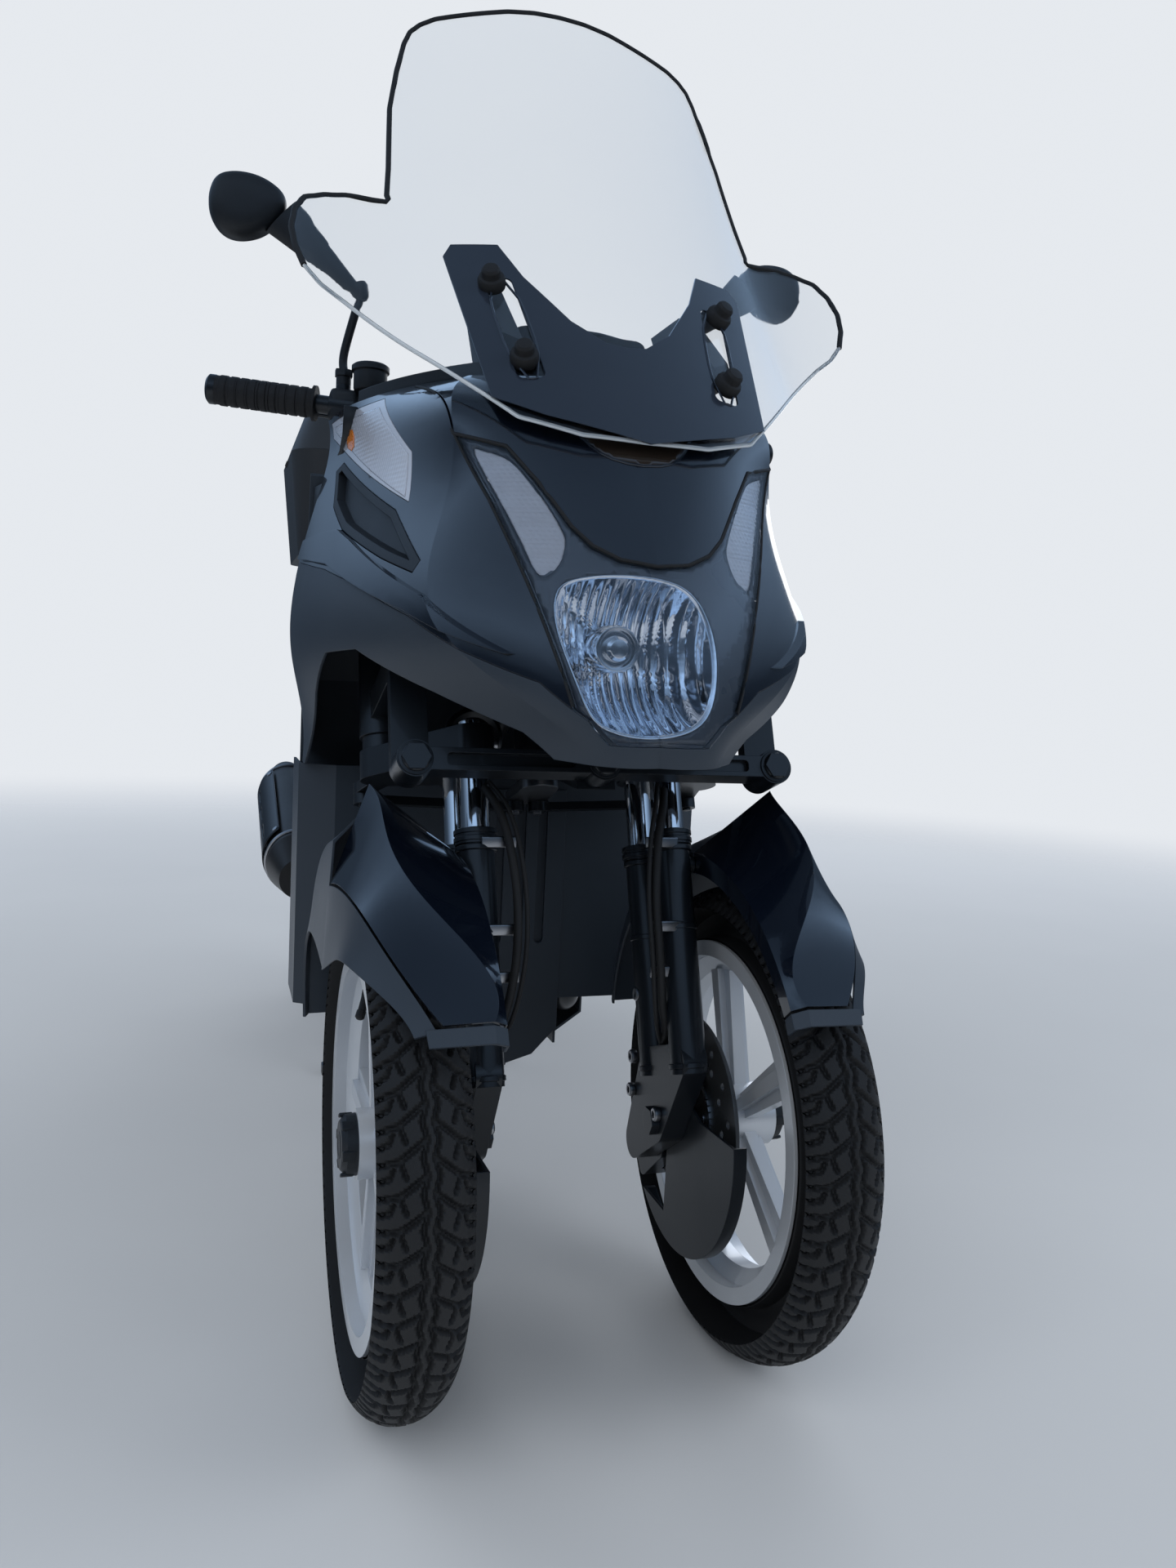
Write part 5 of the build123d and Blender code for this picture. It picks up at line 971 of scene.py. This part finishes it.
# Mirrors: threaded foot, rod, tapering arm and a leaf-shaped housing with the glass on its back
MIRROR = (
    (-44, 4), (-38, 24), (-12, 37), (18, 38), (38, 30), (46, 10), (44, -14), (30, -34), (8, -38), (-22, -26),
)
HOUSING_ROWS = (
    (0.955, 13.0), (0.985, 14.6), (1.0, 13.5), (1.0, 6.0), (0.985, 0.0), (0.93, -6.0), (0.80, -11.0),
    (0.60, -13.6), (0.35, -14.8), (0.12, -15.0),
)
GLASS_ROWS = ((0.945, 13.2), (0.94, 13.6), (0.6, 14.4), (0.3, 14.8), (0.05, 15.0))
ARM_ROWS = 14
mirror_outline = dense(rounded(MIRROR, 3), 3.0)


def leaf(side, rows):
    """Corners of a mirror's outline, scaled and moved back row by row."""
    middle = at(side * 333, 337, 1243)
    corners = []
    for scale, back in rows:
        corners += [middle + step_by(side * u * scale, back, v * scale) for u, v in mirror_outline]
    return corners


for side_name, side in SIDES:
    foot = bar_point(side, 154, 0, 26)
    low, nut_top, high = (foot + step_by(0, 0, up) for up in (10, 18, 40))
    knee = at(side * 204, 331, 1162)
    shapes = [
        tube([foot, low], 9, 18), tube([low, nut_top], 11.5, 6),
        tube(smooth_line([foot + step_by(0, 0, 16), high, knee]), 5.2, 16),
        lathe([(6, -9), (8, -6), (9, 8), (7, 12)], knee, (side * 0.2, 0, 1), 24),
    ]
    start, stop = at(side * 202, 331, 1156), at(side * 297, 335, 1237)
    tall = (stop - start).cross(BACK).normalized()
    corners = []
    for row in range(ARM_ROWS + 1):
        share = row / ARM_ROWS
        middle = start.lerp(stop, share)
        corners += ring_of(middle, BACK * (6.2 + 4.8 * share), tall * (7 + 19 * share ** 1.3), 24)
    shapes.append((corners, capped(ARM_ROWS + 1, 24)))
    piece(f"mirror_stem_{side_name}", shapes, black_plastic, "steering", soft=35)
    count = len(mirror_outline)
    shell = [(leaf(side, HOUSING_ROWS), capped(len(HOUSING_ROWS), count))]
    shell = piece(f"mirror_housing_{side_name}", shell, black_plastic, "steering", soft=40)
    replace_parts(shell, "mirrors")
    faces = capped(len(GLASS_ROWS), count)
    faces.pop(-2)
    glass = [(leaf(side, GLASS_ROWS), faces)]
    piece(f"mirror_glass_{side_name}", glass, mirror_glass, "steering", soft=50, thick=1.0)

# Seat: a stuffed cushion with a rider's hollow, a step and a passenger's pad, then its seams

SEAT_TOP = (
    (779, 742), (796, 772), (830, 782), (900, 776), (1000, 774), (1085, 782), (1116, 812), (1140, 840),
    (1200, 846), (1300, 851), (1352, 850), (1376, 838), (1382, 822),
)
SEAT_BOTTOM = ((779, 737), (1112, 737), (1160, 772), (1382, 798))
SEAT_HALF = (
    (779, 78), (830, 104), (900, 126), (1000, 136), (1085, 130), (1140, 122), (1250, 126), (1340, 118),
    (1382, 84),
)
SEAT_ROWS, SEAT_COLUMNS = 90, 64
SEAT_ROUND_HEIGHT, SEAT_ROUND_WIDTH = 0.6, 0.55
SEAT_TAPER = 0.06
STUFFING_PRESSURE = 2.5
STUFFING_LIMIT = 8
STUFFING_FRAMES = 20


def along_line(line, y):
    """Value of a line of pairs at one place."""
    return float(np.interp(y, [p[0] for p in line], [p[1] for p in line]))


def softened(value, power):
    """Value between -1 and 1 drawn towards the ends, which squares up a circle."""
    return np.sign(value) * abs(value) ** power


corners = []
for row in range(SEAT_ROWS + 1):
    y = SEAT_TOP[0][0] + (SEAT_TOP[-1][0] - SEAT_TOP[0][0]) * row / SEAT_ROWS
    top, bottom, half = (along_line(line, y) for line in (SEAT_TOP, SEAT_BOTTOM, SEAT_HALF))
    for angle in around(SEAT_COLUMNS):
        z = bottom + (top - bottom) * (0.5 + 0.5 * softened(sin(angle), SEAT_ROUND_HEIGHT))
        taper = 1 - SEAT_TAPER * (1 - (z - bottom) / max(top - bottom, 1))
        corners.append(at(half * softened(cos(angle), SEAT_ROUND_WIDTH) * taper, y, z))
faces = capped(SEAT_ROWS + 1, SEAT_COLUMNS)
cushion = piece("seat_cushion", [(corners, faces)], vinyl, "seat", soft=70)


def stuff(thing):
    """Blows a closed cover up as cloth and keeps the result. No place moves further than the limit."""
    remesh = thing.modifiers.new("even", "REMESH")
    remesh.mode = "VOXEL"
    remesh.voxel_size = 6 * MM
    baked(thing)
    start = [v.co.copy() for v in thing.data.vertices]
    low = [n for n, place in enumerate(start)
           if place.z < (along_line(SEAT_BOTTOM, place.y / MM + MIDDLE_Y) + 6) * MM]
    thing.vertex_groups.new(name="held").add(low, 1.0, "REPLACE")
    cloth = thing.modifiers.new("cloth", "CLOTH")
    cloth.settings.use_pressure = True
    cloth.settings.uniform_pressure_force = STUFFING_PRESSURE
    cloth.settings.vertex_group_mass = "held"
    cloth.settings.effector_weights.gravity = 0
    cloth.settings.quality = 6
    cloth.point_cache.frame_start, cloth.point_cache.frame_end = 1, STUFFING_FRAMES
    for number in range(1, STUFFING_FRAMES + 1):
        bpy.context.scene.frame_set(number)
    baked(thing)
    most = STUFFING_LIMIT * MM
    for vertex, old in zip(thing.data.vertices, start):
        move = vertex.co - old
        if move.length > most:
            vertex.co = old + move * (most / move.length)
    thing.vertex_groups.clear()
    bpy.context.scene.frame_set(1)
    finer = thing.modifiers.new("finer", "SUBSURF")
    finer.levels = finer.render_levels = 1
    baked(thing)
    thing.data.shade_smooth()
    thing.data.materials.clear()
    thing.data.materials.append(vinyl)


stuff(cushion)
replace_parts(cushion, "seat")
cushion_tree = tree_of(cushion.data)


def seat_seam(pairs):
    """Places of a seam on the cushion, from (share of its half width, y) pairs."""
    return laid(cushion_tree, from_top, [(share * along_line(SEAT_HALF, y), y) for share, y in pairs], 0.3)


SEAM_RADIUS = 1.3
SEAM_START, SEAM_STOP = 800, 1368
seams = []
for share in (0.60, 0.80, -0.60, -0.80):
    line = seat_seam([(share, SEAM_START + (SEAM_STOP - SEAM_START) * step / 60) for step in range(61)])
    seams.append(tube(smooth_line(line, 2), SEAM_RADIUS, 8))
for y in (1104, 1128):
    seams.append(tube(seat_seam([(0.78 * (-1 + step / 15), y) for step in range(31)]), SEAM_RADIUS, 8))
piece("seat_seams", seams, grip_rubber, "seat", soft=40)

# Top case: lock, handle, belt line, lid ribs and a red reflector on its back
CASE_Y = 1600
CASE_HALF = (213, 196)
BELT_Z = 1166
case_back = CASE_Y + 195
base_tree, lid_tree = tree_of("top_case"), tree_of("top_case_lid")
lock = [block(at(0, case_back + 1, 1160), (110, 8, 50), 3), block(at(0, case_back + 6, 1148), (80, 8, 22), 4)]
piece("case_lock", lock, satin_black)
keyhole = lathe([(10, 0), (10, 2), (8, 3), (3, 2.5)], at(0, case_back + 5, 1172), BACK)
piece("case_keyhole", [keyhole], chrome)
belt = [at(x, CASE_Y + y, BELT_Z) for x, y in dense(oblong(*CASE_HALF, 3), 8.0)]
piece("case_belt", [tube(belt, 2.6, 8, closed=True)], rubber, soft=40)
ribs = []
for x in (-120, -60, 0, 60, 120):
    line = laid(lid_tree, from_top, [(x, y) for y in range(1445, 1760, 12)], 0.2)
    ribs.append(tube(line, 3.5, 10))
piece("lid_ribs", ribs, case_plastic, "top_case_lid", soft=50)
lens = rounded(((-120, 1075), (120, 1075), (132, 1118), (-132, 1118)))
lens = sheet(base_tree, from_back, lens, 1.5, 3.0, lambda u, v: 0.8 * peak(u / 8))
piece("case_reflector", [lens], red_lens, soft=20, thick=1.4)

# Tail lamp ribs, plate holder with a blank plate, and a round reflector
tail_tree = tree_of("tail_lamp")
ribs = []
for z in range(706, 790, 9):
    line = laid(tail_tree, from_back, [(x, z) for x in range(-80, 81, 5)], 0.1)
    if len(line) > 3:
        ribs.append(tube(line, 1.6, 8))
piece("tail_lamp_ribs", ribs, red_lens, soft=40)
plate_turn = Matrix.Rotation(radians(17), 3, "X")
holder = [
    block(at(0, 1606, 560), (150, 6, 110), 2, plate_turn),
    block(at(0, 1590, 615), (60, 30, 40), 4, plate_turn),
]
piece("plate_holder", holder, black_plastic)
piece("plate_blank", [block(at(0, 1610, 560), (140, 2, 100), 0.8, plate_turn)], case_plastic)
disc = [(28, 0), (30, 2), (30, 6), (27, 8), (2, 8.5)]
piece("plate_reflector", [lathe(disc, at(0, 1628, 485), (0, 1, 0.3), 36)], red_lens)

# Drive case: bolts around its rim, the belt cover's boss and the axle's end
DRIVE_FACE_X = 133.5
CASE_BOLTS = (
    (905, 330), (905, 240), (960, 352), (980, 216), (1060, 345), (1150, 335), (1240, 322), (1060, 222),
    (1150, 208), (1240, 196), (1330, 312), (1372, 262), (1330, 200),
)
shapes = []
for y, z in CASE_BOLTS:
    shapes += hexagon_bolt(at(DRIVE_FACE_X - 1.5, y, z), (1, 0, 0), 7.5, 6)
boss = [(34, 0), (34, 6), (30, 9), (12, 9), (12, 14), (9, 16), (2, 16)]
shapes.append(lathe(boss, at(DRIVE_FACE_X, 970, 285), (1, 0, 0), 44))
axle_end = [(30, 0), (30, 4), (24, 7), (18, 7), (18, 12), (2, 12)]
shapes.append(lathe(axle_end, at(DRIVE_FACE_X, WHEELBASE, REAR_AXLE_Z), (1, 0, 0), 40))
piece("drive_case_bolts", shapes, engine_alloy)

# Engine: cooling ribs on both flanks and a filler cap
shapes = [block(at(side * 63.5, 850, z), (5, 86, 4), 1) for side in (1, -1) for z in range(262, 388, 14)]
shapes.append(lathe([(16, 0), (16, 10), (12, 13), (2, 13)], at(-61.5, 960, 250), (-1, 0, 0), 24))
piece("engine_ribs", shapes, engine_alloy)

# Muffler: heat shield with slots, two straps and bolts
MUFFLER_START = (-208, 1010, 332)
MUFFLER_HALF = (54, 62)
STRAP_PLACES = (74, 386)
SHIELD_SPAN = radians(116)
SHIELD_ROWS, SHIELD_COLUMNS = 28, 30
pipe_turn = radians(18)
pipe_axis, pipe_up = Vector((0, cos(pipe_turn), sin(pipe_turn))), Vector((0, -sin(pipe_turn), cos(pipe_turn)))


def muffler_place(along, over, angle):
    """Place on an oval around the muffler's axis, over its skin."""
    half, high = (size + over for size in MUFFLER_HALF)
    out = Vector((-half * cos(angle), 0, 0)) + pipe_up * (high * sin(angle))
    return at(*MUFFLER_START) + (pipe_axis * along + out) * MM


shield = []
for row in range(SHIELD_ROWS + 1):
    for column in range(SHIELD_COLUMNS + 1):
        angle = SHIELD_SPAN * (column / SHIELD_COLUMNS - 0.5)
        shield.append(muffler_place(90 + 10 * row, 5, angle))
slot_rows = {*range(4, 9), *range(12, 17), *range(20, 25)}
slots = {(row, column) for row in slot_rows for column in (10, 14, 15, 19)}
faces = grid_faces(SHIELD_ROWS + 1, SHIELD_COLUMNS + 1)
faces = [face for number, face in enumerate(faces) if divmod(number, SHIELD_COLUMNS) not in slots]
piece("muffler_shield", [(shield, faces)], satin_black, soft=40, thick=-2.0)
straps = []
for along in STRAP_PLACES:
    straps.append(tube([muffler_place(along, 1, angle) for angle in around(48)], 3.5, 8, closed=True))
for along in (100, 360):
    for turn in (-50, 50):
        place = muffler_place(along, 5, radians(turn))
        middle = at(*MUFFLER_START) + pipe_axis * (along * MM)
        straps += hexagon_bolt(place, place - middle, 6, 4)
piece("muffler_straps", straps, steel)

# Rear shock absorbers: wound springs around the CAD dampers
COIL_TURNS, COIL_STEPS = 8, 26
COIL_START, COIL_LENGTH, COIL_RADIUS = 46, 116, 21.2
SHOCK_FOOT = (104, 1326, 352)
shock_axis = Vector((0, sin(SHOCK_TURN), cos(SHOCK_TURN)))
coil_side, coil_up = turned(shock_axis)
for side_name, side in SIDES:
    x, y, z = SHOCK_FOOT
    foot = at(side * x, y, z)
    coil = []
    for step in range(COIL_TURNS * COIL_STEPS + 1):
        angle, share = 2 * pi * step / COIL_STEPS, step / (COIL_TURNS * COIL_STEPS)
        out = (coil_side * cos(angle) + coil_up * sin(angle)) * COIL_RADIUS
        coil.append(foot + (shock_axis * (COIL_START + COIL_LENGTH * share) + out) * MM)
    piece(f"shock_spring_{side_name}", [tube(coil, 4.2, 10)], steel, soft=60)

# Floor: raised rubber pads
PAD_SIZE, PAD_PITCH = (46, 30, 3), 46
pads = []
for side in (1, -1):
    pads += [block(at(side * 196, 462 + PAD_PITCH * step, 307.5), PAD_SIZE, 1) for step in range(6)]
piece("floor_pads", pads, rubber)

# Inner panel: a raised glove box with its lid's outline drawn as a dark line of painted shade, a handle, a
# bag hook, the ignition lock and screws
PANEL_Y = 421
PANEL_SLOPE = 54 / 250
PANEL_BEND_Z = 700
BOX_HALF, BOX_LOW, BOX_HIGH, BOX_DEPTH = 206, 396, 697, 30
BOX_GROOVE_X, BOX_GROOVE_DEPTH = 176, 5
LOCK_X, LOCK_Z = 150, 860
panel_face = PANEL_Y + 3


def eased(value):
    """Smooth step from 0 to 1."""
    value = max(0.0, min(1.0, value))
    return value * value * (3 - 2 * value)


def bulge(x, z):
    """How far the glove box stands out of the inner panel, with a groove down each side."""
    box = eased((BOX_HALF - abs(x)) / 46) * eased((z - BOX_LOW) / 60) * eased((BOX_HIGH - z) / 34)
    groove = eased(1 - abs(abs(x) - BOX_GROOVE_X) / 9) * eased((z - 430) / 40) * eased((670 - z) / 40)
    return BOX_DEPTH * box - BOX_GROOVE_DEPTH * groove


across, heights = range(-210, 211, 5), range(394, 700, 5)
form = []
for z in heights:
    form += [at(x, panel_face + 0.2 + max(0.0, bulge(x, z)), z) for x in across]
form = (form, grid_faces(len(heights), len(across)))
piece("inner_panel_form", [form], grey_plastic, soft=60, thick=-0.8)
# Dark line of painted shade in the gap around the glove box lid
lid = [at(x, panel_face + 0.5 + bulge(x, z), z) for x, z in dense(oblong(148, 74, middle=(0, 581)), 8.0)]
piece("glove_lid_gap_shade", [tube(lid, 1.6, 8, closed=True)], rubber, soft=40)
shapes = [
    block(at(0, panel_face + 4 + bulge(0, 636), 636), (70, 12, 18), 3),
    block(at(0, panel_face + 10, 770), (30, 22, 16), 4), block(at(0, panel_face + 20, 778), (30, 6, 26), 3),
]
for x in (-236, 236):
    for z in (340, 470, 600, 680):
        shapes += socket_bolt(at(x, panel_face - 0.5, z), BACK, 6, 2.5)
piece("inner_panel_fittings", shapes, satin_black)
lock = [(18, 0), (20, 2), (20, 5), (14, 7), (11, 6.5), (2, 6.5)]
lock_place = at(LOCK_X, panel_face - PANEL_SLOPE * (LOCK_Z - PANEL_BEND_Z), LOCK_Z)
piece("ignition_lock", [lathe(lock, lock_place, (0, 0.977, 0.211), 36)], chrome)

# Tail: a dark line of painted shade along the panel gap and a raised satin strip along each side, and
# passenger grab rails
TAIL_GAP = ((802, 560), (900, 562), (1040, 590), (1200, 640), (1340, 690), (1480, 735), (1540, 752))
TAIL_STRIP = ((830, 690), (900, 700), (1050, 712), (1200, 742), (1340, 764))
GRAB_RAIL = (
    (118, 1290, 770), (156, 1300, 800), (160, 1380, 826), (132, 1470, 836), (96, 1500, 826), (70, 1480, 800),
)
cowl_tree = tree_of("tail_cowl")
gaps, strips, rails = [], [], []
for side in (1, -1):
    gaps.append(seam_line(cowl_tree, from_side[side], TAIL_GAP, 1.6, -0.3, False, 8.0))
    strips.append(seam_line(cowl_tree, from_side[side], TAIL_STRIP, 4.0, 0.5, False, 8.0))
    rails.append(tube(smooth_line([at(side * x, y, z) for x, y, z in GRAB_RAIL]), 9, 14))
piece("tail_gap_shade", gaps, rubber, soft=40)
piece("tail_strips", strips, satin_black, soft=60)
piece("grab_rails", rails, satin_black, soft=50)

# Side liners: close the gap between the nose and the inner panel on each side
LINER_COLUMNS = 7
nose_side_tree = tree_of("front_cowl", "lower_cowl", "leg_shield")
for side_name, side in SIDES:
    corners = []
    for z in range(600, 950, 14):
        ahead = from_side[side](nose_side_tree, 308, z, -2.0)
        if ahead is not None and abs(ahead.x) > 120 * MM:
            behind = at(side * 250, PANEL_Y - 2 - max(0, z - PANEL_BEND_Z) * PANEL_SLOPE, z)
            corners += [ahead.lerp(behind, column / (LINER_COLUMNS - 1)) for column in range(LINER_COLUMNS)]
    faces = grid_faces(len(corners) // LINER_COLUMNS, LINER_COLUMNS)
    piece(f"side_liner_{side_name}", [(corners, faces)], black_plastic, soft=50, thick=2.0)

# Camera at the photograph's place

CAMERA_PLACE = (-366.3788, -1105.776, 715.243)
YAW, PITCH, ROLL = 0.32085, 0.08933, 0.04838
PHOTO_HEIGHT = 1920
PHOTO_FOCAL = 1404.424
SENSOR = 36
forward = Vector((sin(YAW) * cos(PITCH), cos(YAW) * cos(PITCH), -sin(PITCH)))
level = forward.cross(Vector((0, 0, 1))).normalized()
above = level.cross(forward)
camera_right = level * cos(ROLL) + above * sin(ROLL)
camera_up = above * cos(ROLL) - level * sin(ROLL)
lens = bpy.data.cameras.new("camera")
lens.sensor_width = SENSOR
lens.lens = SENSOR * PHOTO_FOCAL / PHOTO_HEIGHT
lens.clip_start, lens.clip_end = 0.02, 60
camera = shown("camera", lens)
turn = Matrix((camera_right, camera_up, -forward)).transposed()
camera.matrix_world = Matrix.Translation(at(*CAMERA_PLACE)) @ turn.to_4x4()
bpy.context.scene.camera = camera

# Pale matte floor that thins out with distance, so that it meets the backdrop without a line
FLOOR_HALF = 14
FADE_START, FADE_STOP = 1.4, 6.0
material = grained("floor_pale", (0.60, 0.63, 0.67), 0.8, spread=0.03, patch=2.0, grain=60, bump=0.03, edge=0)
tree = material.node_tree
distance = add_node(tree, "VectorMath", {0: add_node(tree, "TexCoord").outputs["Object"]}, operation="LENGTH")
fade = add_node(tree, "MapRange", {
    "From Min": FADE_START, "From Max": FADE_STOP, "Value": distance.outputs["Value"],
}, interpolation_type="SMOOTHSTEP")
mix = add_node(tree, "MixShader", {
    "Fac": fade.outputs["Result"], 1: tree.nodes["Principled BSDF"].outputs["BSDF"],
    2: add_node(tree, "BsdfTransparent").outputs["BSDF"],
})
fill(tree, tree.nodes["Material Output"], {"Surface": mix.outputs["Shader"]})
floor_mesh = bpy.data.meshes.new("floor")
floor_corners = [(x * FLOOR_HALF, y * FLOOR_HALF, 0) for x, y in ((-1, -1), (1, -1), (1, 1), (-1, 1))]
floor_mesh.from_pydata(floor_corners, [], [(0, 1, 2, 3)])
floor_mesh.materials.append(material)
shown("floor", floor_mesh)

# World: gloss sees a sky that is dark near the horizon and overhead and brightest in between. Matte surfaces
# get an even light, and the camera sees an even pale backdrop, also through clear pieces.
SKY = ((0.0, 0.06), (0.14, 0.10), (0.30, 0.34), (0.50, 0.85), (0.72, 0.42), (1.0, 0.22))
SKY_TINT = (0.58, 0.86, 1.28)
world = bpy.data.worlds.new("studio")
bpy.context.scene.world = world
world.use_nodes = True
tree = world.node_tree
tree.nodes.clear()
place = add_node(tree, "TexCoord").outputs["Generated"]
height = add_node(tree, "SeparateXYZ", {"Vector": place}).outputs["Z"]
sky = add_node(tree, "ValToRGB", {"Fac": height})
while len(sky.color_ramp.elements) < len(SKY):
    sky.color_ramp.elements.new(0.5)
for element, (position, bright) in zip(sky.color_ramp.elements, SKY):
    element.position = position
    element.color = (*[bright * share for share in SKY_TINT], 1)
shine = add_node(tree, "Background", {"Color": sky.outputs["Color"], "Strength": 0.9})
even = add_node(tree, "Background", {"Color": (0.93, 0.97, 1.0, 1), "Strength": 0.40})
seen = add_node(tree, "Background", {"Color": (0.79, 0.82, 0.86, 1), "Strength": 1.0})
rays = add_node(tree, "LightPath").outputs
passing = rays["Is Transmission Ray"]
unmirrored = add_node(tree, "Math", {0: rays["Glossy Depth"], 1: 0.5}, operation="LESS_THAN").outputs[0]
through = add_node(tree, "Math", {0: passing, 1: unmirrored}, operation="MULTIPLY").outputs[0]
either = add_node(tree, "Math", {0: rays["Is Camera Ray"], 1: through}, operation="MAXIMUM").outputs[0]
lit = add_node(tree, "MixShader", {"Fac": rays["Is Diffuse Ray"], 1: shine.outputs[0], 2: even.outputs[0]})
pick = add_node(tree, "MixShader", {"Fac": either, 1: lit.outputs[0], 2: seen.outputs[0]})
add_node(tree, "OutputWorld", {"Surface": pick.outputs[0]})

# Soft lamps: name, place, where they point, size, power, and whether gloss shows them
LAMPS = (
    ("front_left", (-1.9, -3.1, 2.9), (0, -0.2, 0.6), (3.4, 2.6), 58, False),
    ("front_right", (2.7, -2.3, 2.1), (0, -0.2, 0.6), (2.4, 2.6), 40, False),
    ("back_left", (-2.6, 2.0, 2.4), (0, -0.2, 0.6), (2.6, 2.2), 36, False),
    ("back_right", (2.2, 2.8, 2.4), (0, 0.4, 0.8), (2.8, 2.2), 34, True),
)
for name, place, target, size, power, in_gloss in LAMPS:
    light = bpy.data.lights.new(name, "AREA")
    light.shape = "RECTANGLE"
    light.size, light.size_y = size
    light.energy = power
    lamp = shown(name, light)
    lamp.location = place
    lamp.rotation_euler = (Vector(target) - Vector(place)).to_track_quat("-Z", "Y").to_euler()
    lamp.visible_transmission = False
    lamp.visible_glossy = in_gloss

bpy.context.scene.view_settings.view_transform = "Standard"
